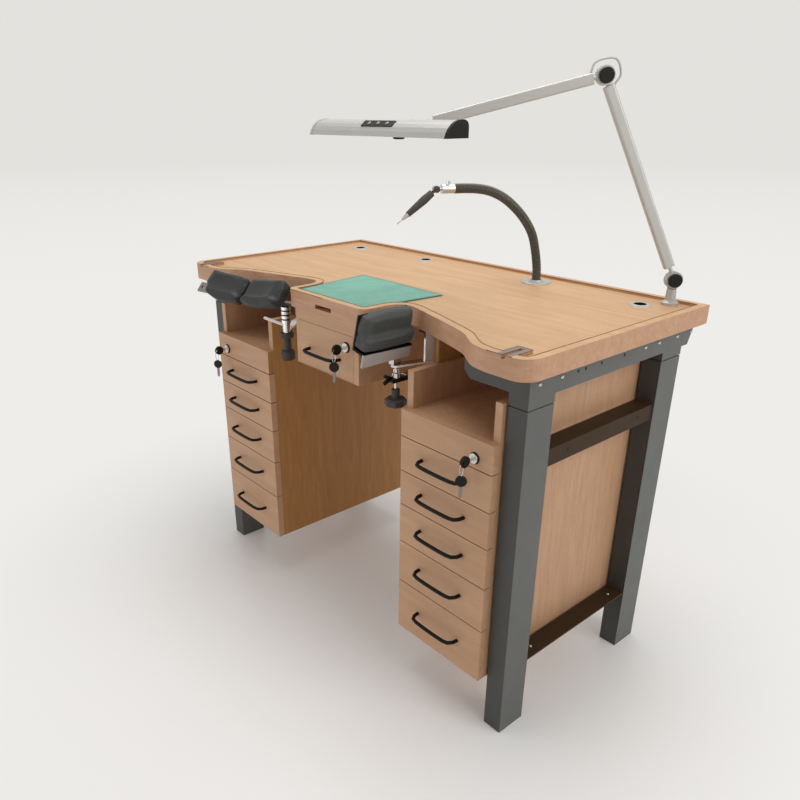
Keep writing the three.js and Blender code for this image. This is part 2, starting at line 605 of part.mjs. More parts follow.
const hoseEnd = hoseRoute.getPointAt(1);
const clampEnd = along(hoseEnd, heading, CLAMP.length);
const tiltAxis = new THREE.Vector3(0, 0, 1).cross(heading).normalize();
const dropAngle = THREE.MathUtils.degToRad(HANDPIECE.drop);
const handpieceWay = along(heading.clone().multiplyScalar(Math.cos(dropAngle)), new THREE.Vector3(0, 0, 1),
  -Math.sin(dropAngle));

function hoseClamp() {
  const start = along(hoseEnd, heading, 0.3);
  const sleeve = rod(start.toArray(), along(hoseEnd, heading, CLAMP.length - 14).toArray(), CLAMP.size / 2, 18);
  const tongue = rod(along(hoseEnd, heading, CLAMP.length - 18).toArray(), clampEnd.toArray(), 2.9, 12);
  const eye = rod(along(clampEnd, tiltAxis, -3).toArray(), along(clampEnd, tiltAxis, 3).toArray(), 9, 18);
  const screwAt = along(hoseEnd, heading, 16);
  const screw = rod(along(screwAt, new THREE.Vector3(0, 0, 1), 8).toArray(),
    along(screwAt, new THREE.Vector3(0, 0, 1), 19).toArray(), CLAMP.stub, 12);
  return join(sleeve, tongue, eye, screw);
}

function handpiece() {
  const { length, grip, neck, tip, needle } = HANDPIECE;
  const at = (distance) => along(clampEnd, handpieceWay, distance).toArray();
  const grips = rod(at(14), at(40), grip * 0.85, 16, grip);
  const body = rod(at(39.9), at(length - tip), grip, 16, neck + 1.5);
  const nose = rod(at(length - tip - 0.1), at(length), neck, 14, 3);
  const pin = rod(at(length - 0.1), at(length + needle), 1.6, 8);
  const cheeks = [[-8, -3.3], [3.3, 8]].map(([a, b]) => {
    const disc = rod(along(clampEnd, tiltAxis, a).toArray(), along(clampEnd, tiltAxis, b).toArray(), 8, 16);
    const mid = (a + b) / 2;
    const strut = rod(along(clampEnd, tiltAxis, mid).toArray(),
      along(along(clampEnd, handpieceWay, 18), tiltAxis, mid).toArray(), 2.3, 8);
    return join(disc, strut);
  });
  return join(grips, body, nose, pin, ...cheeks);
}

// Cushion: a rounded pad with a crown, drawn-in sides and a shallow trough along its length
function cushion(length, width, height, trough) {
  const ball = new THREE.SphereGeometry(1, 24, 16).rotateX(Math.PI / 2);
  const at = ball.getAttribute("position");
  const ease = (value, power) => Math.sign(value) * Math.abs(value) ** power;
  for (let i = 0; i < at.count; i += 1) {
    const direction = new THREE.Vector3().fromBufferAttribute(at, i).normalize();
    const reach = Math.hypot(direction.x, direction.y) || 1;
    const level = ease(Math.hypot(direction.x, direction.y), 0.35);
    const squareness = Math.max(Math.abs(direction.x), Math.abs(direction.y)) / reach;
    const stretch = level / squareness ** 0.75;
    const x = (direction.x / reach) * stretch;
    const y = (direction.y / reach) * stretch;
    const drawn = 1 - 0.03 * (1 - Math.abs(x) * Math.abs(y));
    const dip = direction.z > 0 ? trough * (1 - y * y) * (1 - 0.3 * x * x) : 0;
    const z = ease(direction.z, 0.5) * height / 2 - dip;
    at.setXYZ(i, x * drawn * length / 2, y * drawn * width / 2, z);
  }
  return ball;
}

// Left armrest
const restHeading = new THREE.Vector2(LEFT_REST.barEnd[0] - LEFT_REST.post[0],
  LEFT_REST.barEnd[1] - LEFT_REST.post[1]);
const barLength = restHeading.length();
const barAngle = Math.atan2(restHeading.y, restHeading.x);
const barTilt = THREE.MathUtils.degToRad(LEFT_REST.tilt);
const barZ = LEFT_REST.postTop + 3.3;

function hangingArm(side, end, z) {
  const { x, y, width, thickness, bottom } = HANG;
  const plate = box(x - thickness / 2, x + thickness / 2, y - width / 2, y + width / 2, bottom, underside);
  const flange = box(x - 20, x + thickness / 2, y - width / 2, y + width / 2, underside - thickness, underside);
  const start = new THREE.Vector2(side * (x - 4), y - width / 2 + 12);
  const finish = new THREE.Vector2(...end);
  const reach = start.distanceTo(finish);
  const arm = box(-10, reach, -12, 12, z, z + thickness)
    .rotateZ(Math.atan2(finish.y - start.y, finish.x - start.x)).translate(start.x, start.y, 0);
  const drop = box(x - 16, x + thickness / 2, y - width / 2, y + width / 2, bottom, bottom + thickness);
  const bracket = join(plate, flange, drop);
  return join(side < 0 ? mirrored(bracket) : bracket, arm);
}

function leftPost() {
  const [x, y] = LEFT_REST.post;
  const arm = hangingArm(-1, [x, y], HANG.bottom);
  const post = rod([x, y, HANG.bottom - LEFT_KNOB.drop], [x, y, LEFT_REST.postTop], LEFT_REST.postRadius, 18);
  const collars = LEVER.collars.map((z) =>
    rod([x, y, z], [x, y, z + LEVER.collarHeight], LEFT_REST.postRadius + 3, 18));
  const lever = rod([x, y, LEVER.z], [x - LEVER.reach, y - 4, LEVER.z + 2], LEVER.radius, 10);
  return join(arm, post, ...collars, lever);
}

function footKnob([x, y], top) {
  const { height, disc, stem, flange } = LEFT_KNOB;
  const knob = turned([[0, -height], [disc - 3, -height], [disc, -height + 4], [disc, -height + 20],
    [disc - 3, -height + 26], [stem, -height + 29], [stem, -15], [flange, -11], [flange, 0], [0, 0]], 20);
  return knob.translate(x, y, top);
}

function onBar(geometry) {
  return geometry.rotateX(-barTilt).rotateZ(barAngle).translate(...LEFT_REST.post, barZ);
}

const padRise = LEFT_BAR.thickness / 2 + 0.3;

function padStem([distance, length, roll]) {
  const slope = Math.sin(THREE.MathUtils.degToRad(Math.abs(roll)));
  const top = slope * (length / 2 - PAD_STEM_RADIUS) + LEFT_BAR.thickness / 2;
  return onBar(rod([distance, 0, 0], [distance, 0, top], PAD_STEM_RADIUS, 16));
}

function restBar() {
  const { start, width, thickness, boss, eye, eyeInset } = LEFT_BAR;
  const bar = onBar(box(start, barLength, -width / 2, width / 2, -thickness / 2, thickness / 2));
  const above = onBar(box(-boss * 2, boss * 2, -boss * 2, boss * 2, thickness / 2, boss * 2));
  const hole = onBar(rod([barLength - eyeInset, 0, -thickness], [barLength - eyeInset, 0, thickness], eye, 12));
  const [x, y] = LEFT_REST.post;
  const pivot = cut(rod([x, y, LEFT_REST.postTop + 0.3], [x, y, barZ + thickness / 2], boss, 20), above);
  return join(cut(bar, hole), pivot, padStem(LEFT_PADS.inner), padStem(LEFT_PADS.outer));
}

function leftPad([distance, length, roll]) {
  const { width, height, trough } = LEFT_PADS;
  const lowEnd = Math.sign(roll) * length / 2;
  const pad = cushion(length, width, height, trough).translate(-lowEnd, 0, height / 2 + padRise);
  return onBar(pad.rotateY(THREE.MathUtils.degToRad(roll)).translate(distance + lowEnd, 0, 0));
}

// Right armrest: an upright tray on a rod that hangs through the arm, with a foot knob
const plateTilt = THREE.MathUtils.degToRad(RIGHT_REST.tilt);

function rightKnob() {
  const [x, y] = RIGHT_REST.rod;
  const { bottom, disc, thickness, hub, height, bore } = RIGHT_KNOB;
  const wheel = turned([[0, 0], [disc - 5, 0], [disc, 4], [disc, thickness - 4], [disc - 5, thickness],
    [0, thickness]], 8).translate(x, y, bottom);
  const neck = rod([x, y, bottom + thickness / 2], [x, y, bottom + height], hub, 14);
  const hole = rod([x, y, bottom + bore], [x, y, bottom + height + 1], RIGHT_REST.rodRadius + 0.4, 12);
  return cut(join(wheel, neck), hole);
}

function rightBracket() {
  const [x, y] = RIGHT_REST.rod;
  const hole = rod([x, y, HANG.bottom - 1], [x, y, HANG.bottom + HANG.thickness + 1],
    RIGHT_REST.rodRadius + 0.4, 12);
  const boss = rod([x, y, HANG.bottom], [x, y, HANG.bottom + HANG.thickness], 13, 18);
  return cut(join(hangingArm(1, RIGHT_REST.rod, HANG.bottom), boss), hole);
}

function onPlate(geometry) {
  return geometry.rotateY(plateTilt).translate(...RIGHT_REST.centre);
}

function rightShell() {
  const [x, y] = RIGHT_REST.rod;
  const { up, down, half, thickness, seat, apron } = RIGHT_PLATE;
  const plate = onPlate(join(
    box(-up, down + thickness, -half, half, -thickness, 0),
    box(down, down + thickness, -half, half, -thickness, seat),
    box(down, down + apron, -half, half, seat - thickness, seat),
  ));
  const block = box(x - 13, x + 4, y - 11, y + 11, HANG.bottom + HANG.thickness + 0.3,
    RIGHT_REST.blockTop);
  const foot = RIGHT_KNOB.bottom + RIGHT_KNOB.bore + 1;
  const thread = rod([x, y, foot], [x, y, HANG.bottom + HANG.thickness + 10], RIGHT_REST.rodRadius, 12);
  return join(plate, block, thread);
}

function rightPad() {
  const { length, width, height, up, trough } = RIGHT_PAD;
  return onPlate(cushion(length, width, height, trough).translate(-up, 0, height / 2 + 0.3));
}

// Assembly
const bench = new THREE.Group();
const add = (...pieces) => bench.add(...pieces);

add(piece("worktop", worktop(), "beech"), piece("skin_mat", skinMat(), "teal"));
for (const [place, centre] of Object.entries(GROMMETS)) {
  add(piece(`grommet_${place}`, grommet(centre), "chrome"));
}

const sides = { right: (geometry) => geometry, left: mirrored };
for (const [side, place] of Object.entries(sides)) {
  const sign = side === "right" ? 1 : -1;
  const middle = (PEDESTAL.inner + PEDESTAL.outer) / 2;
  add(piece(`top_frame_${side}`, place(topFrame()), "steelPaint"));
  add(piece(`leg_frame_${side}`, place(legFrame()), "steelPaint"));
  add(piece(`carcass_${side}`, place(carcass()), "beech"));
  drawerSpans().forEach((span, i) => {
    const height = (span.top + span.bottom) / 2 + HANDLE.rise;
    add(piece(`drawer_${side}_${i + 1}`, place(drawer(span)), "beech"));
    add(piece(`handle_${side}_${i + 1}`, handle(sign * middle, frontFace, height, HANDLE.length),
      "blackMetal"));
  });
  add(piece(`lock_${side}`, lockBody(LOCKS[side], frontFace), "chrome"));
  add(piece(`key_${side}`, key(LOCKS[side], frontFace), "blackPlastic"));
}

add(piece("centre_housing", centreHousing(), "beech"), piece("centre_drawer", centreDrawer(), "beech"));
add(piece("centre_handle", handle(CENTRE_HANDLE.x, HOUSING.front, CENTRE_HANDLE.z, CENTRE_HANDLE.length),
  "blackMetal"));
add(piece("lock_centre", lockBody(LOCKS.centre, HOUSING.front), "chrome"));
add(piece("key_centre", key(LOCKS.centre, HOUSING.front), "blackPlastic"));

add(piece("lamp_base", lampFoot(), "aluminium"), piece("lamp_lower_arm", lowerArm(), "aluminium"));
add(piece("lamp_upper_arm", upperArm(), "aluminium"), piece("lamp_head", lampHead(), "aluminium"));
add(piece("lamp_shoulder_knob", lampKnob(shoulder), "blackPlastic"));
add(piece("lamp_elbow_knob", lampKnob(elbow), "blackPlastic"));
add(piece("lamp_cable", cableLoop(), "greyMetal"));

add(piece("stand_plate", standPlate(), "chrome"), piece("stand_hose", ribbedHose(), "hose"));
add(piece("stand_clamp", hoseClamp(), "chrome"), piece("handpiece", handpiece(), "blackMetal"));

add(piece("arm_post_left", leftPost(), "chrome"), piece("arm_bar_left", restBar(), "greyMetal"));
add(piece("arm_knob_left", footKnob(LEFT_REST.post, HANG.bottom - LEFT_KNOB.drop - 0.3), "blackPlastic"));
add(piece("pad_left_inner", leftPad(LEFT_PADS.inner), "leather"));
add(piece("pad_left_outer", leftPad(LEFT_PADS.outer), "leather"));
add(piece("arm_bracket_right", rightBracket(), "greyMetal"));
add(piece("arm_knob_right", rightKnob(), "blackPlastic"));
add(piece("arm_shell_right", rightShell(), "greyMetal"), piece("pad_right", rightPad(), "leather"));

// Stand the bench on the floor with its box centred on the origin
const extent = new THREE.Box3().setFromObject(bench);
const centre = extent.getCenter(new THREE.Vector3());
bench.position.set(-centre.x, -centre.y, -extent.min.z);

export default bench;
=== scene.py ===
"""A jeweller's bench with drawers, lamp, flexible stand and armrests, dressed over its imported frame."""

import json
import logging
import math
from collections.abc import Callable, Sequence
from dataclasses import dataclass
from enum import Enum

import bmesh
import bpy
from mathutils import Matrix, Vector

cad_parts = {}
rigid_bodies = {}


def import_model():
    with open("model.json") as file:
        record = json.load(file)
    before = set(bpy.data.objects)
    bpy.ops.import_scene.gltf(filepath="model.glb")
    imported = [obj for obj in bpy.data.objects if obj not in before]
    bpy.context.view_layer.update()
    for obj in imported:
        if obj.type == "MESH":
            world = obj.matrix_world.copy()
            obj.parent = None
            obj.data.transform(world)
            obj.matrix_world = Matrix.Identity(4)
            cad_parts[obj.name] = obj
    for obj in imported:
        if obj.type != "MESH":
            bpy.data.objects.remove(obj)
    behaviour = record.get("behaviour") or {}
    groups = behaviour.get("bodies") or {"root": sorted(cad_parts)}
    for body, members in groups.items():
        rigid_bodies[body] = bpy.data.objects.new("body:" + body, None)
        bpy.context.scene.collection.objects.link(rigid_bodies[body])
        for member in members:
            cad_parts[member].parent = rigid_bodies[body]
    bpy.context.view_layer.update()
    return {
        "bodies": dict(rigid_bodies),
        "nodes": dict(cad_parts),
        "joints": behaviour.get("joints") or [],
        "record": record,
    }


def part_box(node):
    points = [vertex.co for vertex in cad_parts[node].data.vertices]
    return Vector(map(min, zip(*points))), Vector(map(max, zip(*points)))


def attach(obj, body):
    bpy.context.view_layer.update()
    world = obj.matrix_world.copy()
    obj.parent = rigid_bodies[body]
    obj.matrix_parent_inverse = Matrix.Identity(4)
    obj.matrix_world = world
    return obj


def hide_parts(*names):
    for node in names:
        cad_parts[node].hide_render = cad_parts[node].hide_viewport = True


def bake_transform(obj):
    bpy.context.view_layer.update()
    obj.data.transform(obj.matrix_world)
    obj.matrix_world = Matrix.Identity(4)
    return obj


LOG = logging.getLogger("bench")
MM = 0.001
MIDDLE_Y = 41.5538
SIDES = {"right": 1, "left": -1}


def at(x: float, y: float, z: float) -> Vector:
    """Turn bench millimetres, measured from the worktop's middle, into metres in the frame.

    Args:
        x: Distance to the sitter's right.
        y: Distance to the back.
        z: Height above the floor.

    Returns:
        The point in metres.
    """
    return Vector((x * MM, (y + MIDDLE_Y) * MM, z * MM))


def linear(code: str) -> tuple[float, float, float, float]:
    """Turn an sRGB hex value into a linear colour.

    Args:
        code: Six hex digits.

    Returns:
        Red, green, blue and alpha.
    """
    parts = [int(code[i:i + 2], 16) / 255 for i in (0, 2, 4)]
    red, green, blue = (p / 12.92 if p <= 0.04045 else ((p + 0.055) / 1.055) ** 2.4 for p in parts)
    return (red, green, blue, 1.0)


def add_node(tree: bpy.types.NodeTree, kind: str, inputs: dict | None = None,
             **settings: object) -> bpy.types.Node:
    """Add one node with its settings, values and links.

    Args:
        tree: The material's node tree.
        kind: The node's type name, without the ShaderNode prefix.
        inputs: Value, or source socket, for each input by name or number.
        settings: Properties of the node.

    Returns:
        The new node.
    """
    node = tree.nodes.new("ShaderNode" + kind)
    for name, value in settings.items():
        setattr(node, name, value)
    for name, value in (inputs or {}).items():
        if isinstance(value, bpy.types.NodeSocket):
            tree.links.new(value, node.inputs[name])
        else:
            node.inputs[name].default_value = value
    return node


class Grain(Enum):
    """The direction in which the wood grain runs."""

    ACROSS = 0
    DEEP = 1
    UPRIGHT = 2


@dataclass(frozen=True)
class Finish:
    """A finish that a shader gives to a piece."""

    name: str
    slot: str

    def shade(self, tree: bpy.types.NodeTree, shader: bpy.types.Node) -> None:
        """Set the shader's sockets and add the finish's own nodes."""
        raise NotImplementedError

    def material(self) -> bpy.types.Material:
        """Make the material once and reuse it.

        Returns:
            The material with its nodes.
        """
        known = bpy.data.materials.get(self.name)
        if known:
            return known
        made = bpy.data.materials.new(self.name)
        made.use_nodes = True
        self.shade(made.node_tree, made.node_tree.nodes["Principled BSDF"])
        return made


@dataclass(frozen=True)
class OiledBeech(Finish):
    """Steamed beech, planed and oiled: a warm even tan, soft growth bands and short dark flecks."""

    pale: str = "DDB68B"
    deep: str = "C49566"
    grain: Grain = Grain.ACROSS
    band_mm: float = 30.0
    fleck_mm: float = 2.6
    fleck: str = "8F6238"

    def shade(self, tree: bpy.types.NodeTree, shader: bpy.types.Node) -> None:
        """Lay bands, streaks and flecks along the grain; flecks are drawn coarser than life to show.

        Args:
            tree: The material's node tree.
            shader: Its principled shader.
        """
        place = add_node(tree, "TexCoord").outputs["Object"]
        bands = self.stretched(tree, place, self.band_mm, 9.0)
        wander = add_node(tree, "TexNoise", {"Vector": bands, "Scale": 1.0, "Detail": 3.0,
                                             "Distortion": 0.9})
        streaks = self.stretched(tree, place, self.fleck_mm, 34.0)
        fine = add_node(tree, "TexNoise", {"Vector": streaks, "Scale": 1.0, "Detail": 4.0, "Roughness": 0.6})
        flecks = self.stretched(tree, place, self.fleck_mm * 0.8, 7.0)
        spots = add_node(tree, "TexNoise", {"Vector": flecks, "Scale": 1.0, "Detail": 1.0})
        mark = add_node(tree, "MapRange", {"Value": spots.outputs[0], "From Min": 0.60, "From Max": 0.72})
        tone = add_node(tree, "MapRange", {"Value": wander.outputs[0], "From Min": 0.32, "From Max": 0.68})
        ground = add_node(tree, "MixRGB", {0: tone.outputs[0], 1: linear(self.pale), 2: linear(self.deep)})
        lines = add_node(tree, "MapRange", {"Value": fine.outputs[0], "From Min": 0.3, "From Max": 0.75,
                                            "To Min": 0.0, "To Max": 0.22})
        lined = add_node(tree, "MixRGB", {0: lines.outputs[0], 1: ground.outputs[0], 2: linear(self.deep)})
        weight = add_node(tree, "MapRange", {"Value": mark.outputs[0], "To Max": 0.22})
        flecked = add_node(tree, "MixRGB", {0: weight.outputs[0], 1: lined.outputs[0],
                                            2: linear(self.fleck)})
        gloss = add_node(tree, "MapRange", {"Value": fine.outputs[0], "To Min": 0.42, "To Max": 0.58})
        pores = add_node(tree, "Bump", {"Strength": 0.12, "Distance": 0.0004, "Height": fine.outputs[0]})
        tree.links.new(flecked.outputs[0], shader.inputs["Base Color"])
        tree.links.new(gloss.outputs[0], shader.inputs["Roughness"])
        tree.links.new(pores.outputs[0], shader.inputs["Normal"])

    def stretched(self, tree: bpy.types.NodeTree, place: bpy.types.NodeSocket, size_mm: float,
                  ratio: float) -> bpy.types.NodeSocket:
        """Scale the place so that one unit is size_mm across the grain and ratio times that along it.

        Args:
            tree: The material's node tree.
            place: The object coordinates.
            size_mm: Width of the pattern across the grain.
            ratio: Length along the grain for one width.

        Returns:
            The scaled coordinates.
        """
        scale = [1000 / size_mm] * 3
        scale[self.grain.value] /= ratio
        return add_node(tree, "Mapping", {"Vector": place, "Scale": scale}).outputs[0]


@dataclass(frozen=True)
class Coating(Finish):
    """A painted, moulded or plated skin: one colour with slight drift, and a fine bump of its own size."""

    colour: str = "808080"
    shade_to: str = "707070"
    metallic: float = 0.0
    roughness: float = 0.45
    spread: float = 0.08
    bump_mm: float = 1.2
    bump: float = 0.1
    drift_mm: float = 60.0
    specular: float = 0.5

    def shade(self, tree: bpy.types.NodeTree, shader: bpy.types.Node) -> None:
        """Drift the colour and the gloss, and raise the surface's own texture.

        Args:
            tree: The material's node tree.
            shader: Its principled shader.
        """
        place = add_node(tree, "TexCoord").outputs["Object"]
        drift = add_node(tree, "TexNoise", {"Vector": place, "Scale": 1000 / self.drift_mm, "Detail": 3.0})
        skin = add_node(tree, "TexNoise", {"Vector": place, "Scale": 1000 / self.bump_mm, "Detail": 2.0})
        tint = add_node(tree, "MixRGB", {0: drift.outputs[0], 1: linear(self.colour),
                                         2: linear(self.shade_to)})
        gloss = add_node(tree, "MapRange", {"Value": drift.outputs[0],
                                            "To Min": self.roughness - self.spread,
                                            "To Max": self.roughness + self.spread})
        peel = add_node(tree, "Bump", {"Strength": self.bump, "Distance": 0.0003, "Height": skin.outputs[0]})
        tree.links.new(tint.outputs[0], shader.inputs["Base Color"])
        tree.links.new(gloss.outputs[0], shader.inputs["Roughness"])
        tree.links.new(peel.outputs[0], shader.inputs["Normal"])
        shader.inputs["Metallic"].default_value = self.metallic
        shader.inputs["Specular IOR Level"].default_value = self.specular


@dataclass(frozen=True)
class Leatherette(Finish):
    """Embossed vinyl over foam: a dark satin skin with a pebble of about three millimetres."""

    colour: str = "3C3E3D"
    valley_shade: str = "2A2B2A"
    pebble_mm: float = 3.0
    crease_mm: float = 35.7
    roughness: float = 0.52

    def shade(self, tree: bpy.types.NodeTree, shader: bpy.types.Node) -> None:
        """Emboss pebbles and paint shade into the valleys between them.

        Args:
            tree: The material's node tree.
            shader: Its principled shader.
        """
        place = add_node(tree, "TexCoord").outputs["Object"]
        pebbles = add_node(tree, "TexVoronoi", {"Vector": place, "Scale": 1000 / self.pebble_mm},
                           feature="SMOOTH_F1")
        crease = add_node(tree, "TexNoise", {"Vector": place, "Scale": 1000 / self.crease_mm, "Detail": 4.0})
        # The valleys between pebbles get painted shade.
        tint = add_node(tree, "MixRGB", {0: pebbles.outputs[0], 1: linear(self.colour),
                                         2: linear(self.valley_shade)})
        gloss = add_node(tree, "MapRange", {"Value": crease.outputs[0], "To Min": self.roughness - 0.1,
                                            "To Max": self.roughness + 0.1})
        grain = add_node(tree, "Bump", {"Strength": 0.25, "Distance": 0.0004, "Height": pebbles.outputs[0]},
                         invert=True)
        tree.links.new(tint.outputs[0], shader.inputs["Base Color"])
        tree.links.new(gloss.outputs[0], shader.inputs["Roughness"])
        tree.links.new(grain.outputs[0], shader.inputs["Normal"])
        shader.inputs["Specular IOR Level"].default_value = 0.3


@dataclass(frozen=True)
class ScrapSkin(Finish):
    """Dyed hide laid on the bench: matt teal, mottled, with a soft nap."""

    colour: str = "86C7B0"
    worn: str = "74B39D"
    nap_mm: float = 2.2
    mottle_mm: float = 76.9

    def shade(self, tree: bpy.types.NodeTree, shader: bpy.types.Node) -> None:
        """Mottle the dye and raise a nap, drawn coarser than life to show.

        Args:
            tree: The material's node tree.
            shader: Its principled shader.
        """
        place = add_node(tree, "TexCoord").outputs["Object"]
        mottle = add_node(tree, "TexNoise", {"Vector": place, "Scale": 1000 / self.mottle_mm, "Detail": 5.0,
                                             "Roughness": 0.6})
        nap = add_node(tree, "TexNoise", {"Vector": place, "Scale": 1000 / self.nap_mm, "Detail": 3.0})
        spread = add_node(tree, "MapRange", {"Value": mottle.outputs[0], "From Min": 0.35, "From Max": 0.65})
        tint = add_node(tree, "MixRGB", {0: spread.outputs[0], 1: linear(self.colour), 2: linear(self.worn)})
        fibre = add_node(tree, "Bump", {"Strength": 0.2, "Distance": 0.0004, "Height": nap.outputs[0]})
        tree.links.new(tint.outputs[0], shader.inputs["Base Color"])
        tree.links.new(fibre.outputs[0], shader.inputs["Normal"])
        shader.inputs["Roughness"].default_value = 0.72
        shader.inputs["Sheen Weight"].default_value = 0.15


# Oiled beech boards, planed: a warm pale tan with wide, calm bands
TOP_BEECH = OiledBeech("beech_top", "beech", pale="D2AB82", deep="C49A6E")
# The same boards cut at their edges: pinker, with bands closer together
EDGE_BEECH = OiledBeech("beech_edges", "beech", pale="CDA181", deep="BF9170", band_mm=18.0)
# Planed drawer fronts: a flat rosy tan with broad bands that run across
FRONT_BEECH = OiledBeech("beech_fronts", "beech", pale="CBA17D", deep="BE9370", band_mm=45.0)
# Pedestal sides: the same tan with narrow bands that stand upright
SIDE_BEECH = OiledBeech("beech_sides", "beech", pale="CBA07C", deep="BD9270", grain=Grain.UPRIGHT,
                        band_mm=16.0)
# Sides in the knee space and the board above them: the same boards, painted deeper and more orange as
# painted shade
SHADED_INNER_BEECH = OiledBeech("beech_inner_sides_painted_shade", "beech", pale="BC874C", deep="AB773F", grain=Grain.UPRIGHT,
                         band_mm=16.0)
# A fine dark brown line, matt: painted shade along the rim's step
RIM_SHADE_LINE = Coating("rim_line_painted_shade", "beech", colour="8F6A42", shade_to="805C36", metallic=0.0,
                    roughness=0.6, spread=0.05, bump_mm=2.0, bump=0.02)
# Powder-coated steel: a satin mid grey with a faint orange peel
STEEL_PAINT = Coating("powder_coated_steel", "steel_paint", colour="656664", shade_to="5D5E5C", metallic=0.1,
                      roughness=0.42, spread=0.06, bump_mm=1.6, bump=0.1, specular=0.35)
# The same coat on faces to the sitter, painted a darker, quieter grey as painted shade
STEEL_FRONT_SHADE = Coating("powder_coated_steel_front_painted_shade", "steel_paint", colour="4E4E4C", shade_to="464644",
                      metallic=0.1, roughness=0.42, spread=0.06, bump_mm=1.6, bump=0.1, specular=0.3)
# The same coat on the rails, nearly matt, painted dark brown: painted shade, tinted by light thrown from the
# wood beside them
STEEL_RAIL_SHADE = Coating("powder_coated_rails_painted_shade", "steel_paint", colour="42311F", shade_to="38291B", metallic=0.05,
                     roughness=0.55, spread=0.06, bump_mm=1.6, bump=0.1, specular=0.15)
# Anodised aluminium extrusion: a soft pale grey sheen that drifts a little
ALUMINIUM = Coating("anodised_aluminium", "aluminium", colour="BDBBB7", shade_to="B3B1AD", metallic=0.35,
                    roughness=0.4, spread=0.05, bump_mm=0.8, bump=0.01)
# Brushed aluminium tube: a touch paler, with a broad soft sheen
LAMP_ARM = Coating("brushed_aluminium_arm", "aluminium", colour="C2C0BB", shade_to="B8B6B1", metallic=0.35,
                   roughness=0.42, spread=0.05, bump_mm=0.8, bump=0.01)
# Opal acrylic sheet: milky white, evenly matt
DIFFUSER = Coating("opal_acrylic", "aluminium", colour="E4E3DF", shade_to="DCDBD7", metallic=0.0,
                   roughness=0.55, spread=0.03, bump_mm=2.0, bump=0.02)
# Chrome plate on turned steel: a clear bright mirror
CHROME = Coating("chrome_plate", "chrome", colour="D2D2D0", shade_to="C6C6C4", metallic=1.0,
                 roughness=0.16, spread=0.05, bump_mm=3.0, bump=0.01)
# Zinc plate: a grey half gloss, slightly cloudy
GREY_ZINC = Coating("zinc_plate", "grey_metal", colour="8F8B87", shade_to="7F7B77", metallic=0.6,
                    roughness=0.38, spread=0.08, bump_mm=2.0, bump=0.05)
# Painted sheet steel: a pale warm grey, evenly satin
PALE_PLATE = Coating("painted_sheet_steel", "grey_metal", colour="B4ADA8", shade_to="A9A29D", metallic=0.1,
                     roughness=0.5, spread=0.05, bump_mm=2.0, bump=0.05)
# Zinc plate, painted nearly white with a soft sheen as painted reflection of the bright studio
REFLECTION_PLATE = Coating("zinc_plate_painted_reflection", "grey_metal", colour="F0EEEB", shade_to="E6E4E1", metallic=0.1,
                       roughness=0.45, spread=0.05, bump_mm=2.0, bump=0.04)
# Black lacquer on steel: a deep brown black with a dull shine
BLACK_STEEL = Coating("black_lacquered_steel", "black_metal", colour="100B09", shade_to="0C0806",
                      metallic=0.1, roughness=0.5, spread=0.06, bump_mm=1.0, bump=0.06, specular=0.18)
# Moulded ABS: an even black with a fine satin texture
BLACK_PLASTIC = Coating("black_abs", "black_plastic", colour="161614", shade_to="11110F", metallic=0.0,
                        roughness=0.5, spread=0.08, bump_mm=0.9, bump=0.1, specular=0.22)
# Moulded nylon: a dark warm grey with a slightly grained skin
DARK_PLASTIC = Coating("grey_nylon", "black_plastic", colour="46423F", shade_to="3B3734", metallic=0.0,
                       roughness=0.5, spread=0.08, bump_mm=1.2, bump=0.12, specular=0.3)
# Moulded rubber: dark grey and dull, with a grained skin
HANDPIECE_GRIP = Coating("rubber_grip", "black_metal", colour="4B4741", shade_to="403C37", metallic=0.0,
                         roughness=0.55, spread=0.06, bump_mm=1.4, bump=0.15, specular=0.3)
# Rubber hose with moulded ribs: an olive grey that drifts from rib to rib
RUBBER_HOSE = Coating("ribbed_rubber", "hose", colour="5A554C", shade_to="494438", metallic=0.1,
                      roughness=0.5, spread=0.08, bump_mm=1.2, bump=0.08)
# Extruded vinyl sheath: pale grey with a soft shine
PALE_CABLE = Coating("vinyl_cable_sheath", "cable", colour="C9C7C3", shade_to="BDBBB7", metallic=0.0,
                     roughness=0.45, spread=0.05, bump_mm=1.0, bump=0.05)
# Embossed vinyl over foam: near black, with a satin pebble
LEFT_HIDE = Leatherette("vinyl_left_pads", "leather", colour="343635", valley_shade="282A29")
# The same vinyl in a paler grey
RIGHT_HIDE = Leatherette("vinyl_right_pad", "leather", colour="4C4E4C", valley_shade="3F413F")
# Dyed hide: a matt teal, cloudy, with a soft nap
SKIN = ScrapSkin("dyed_hide", "mat", colour="71AF9B", worn="679F8E")
# The hide's cut edge: a darker teal
SKIN_EDGE = ScrapSkin("dyed_hide_edge", "mat", colour="5E8F86", worn="52807A")
# Studio paint: a near-white floor, its far part, the backdrop behind it and the light all round
FLOOR_PAINT = "FDFCFB"
FLOOR_FAR = "EFEDEA"
BACKDROP = "E3E2DE"
AMBIENT = "F4F3F1"

Dressing = tuple[Finish, Callable[[bpy.types.MeshPolygon], bool]]


def dress(frame: dict, node: str, finish: Finish, *others: Dressing, soften: float = 0.0) -> None:
    """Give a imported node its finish, and other finishes to the faces that a test picks.

    Args:
        node: The node's name.
        finish: The finish of most faces.
        others: Further finishes with the test that picks their faces.
        soften: Width in millimetres of an eased edge, or 0 for none.
    """
    thing = frame["nodes"][node]
    mesh = thing.data
    mesh.materials.clear()
    mesh.materials.append(finish.material())
    for index, (other, picks) in enumerate(others, start=1):
        mesh.materials.append(other.material())
        for face in mesh.polygons:
            if picks(face):
                face.material_index = index
    weld = thing.modifiers.new("weld", "WELD")
    weld.merge_threshold = 1e-5
    if soften:
        ease = thing.modifiers.new("eased_edges", "BEVEL")
        ease.width = soften * MM
        ease.segments = 2
        ease.limit_method = "ANGLE"
        ease.angle_limit = math.radians(38)
        ease.harden_normals = False
        ease.miter_outer = "MITER_ARC"


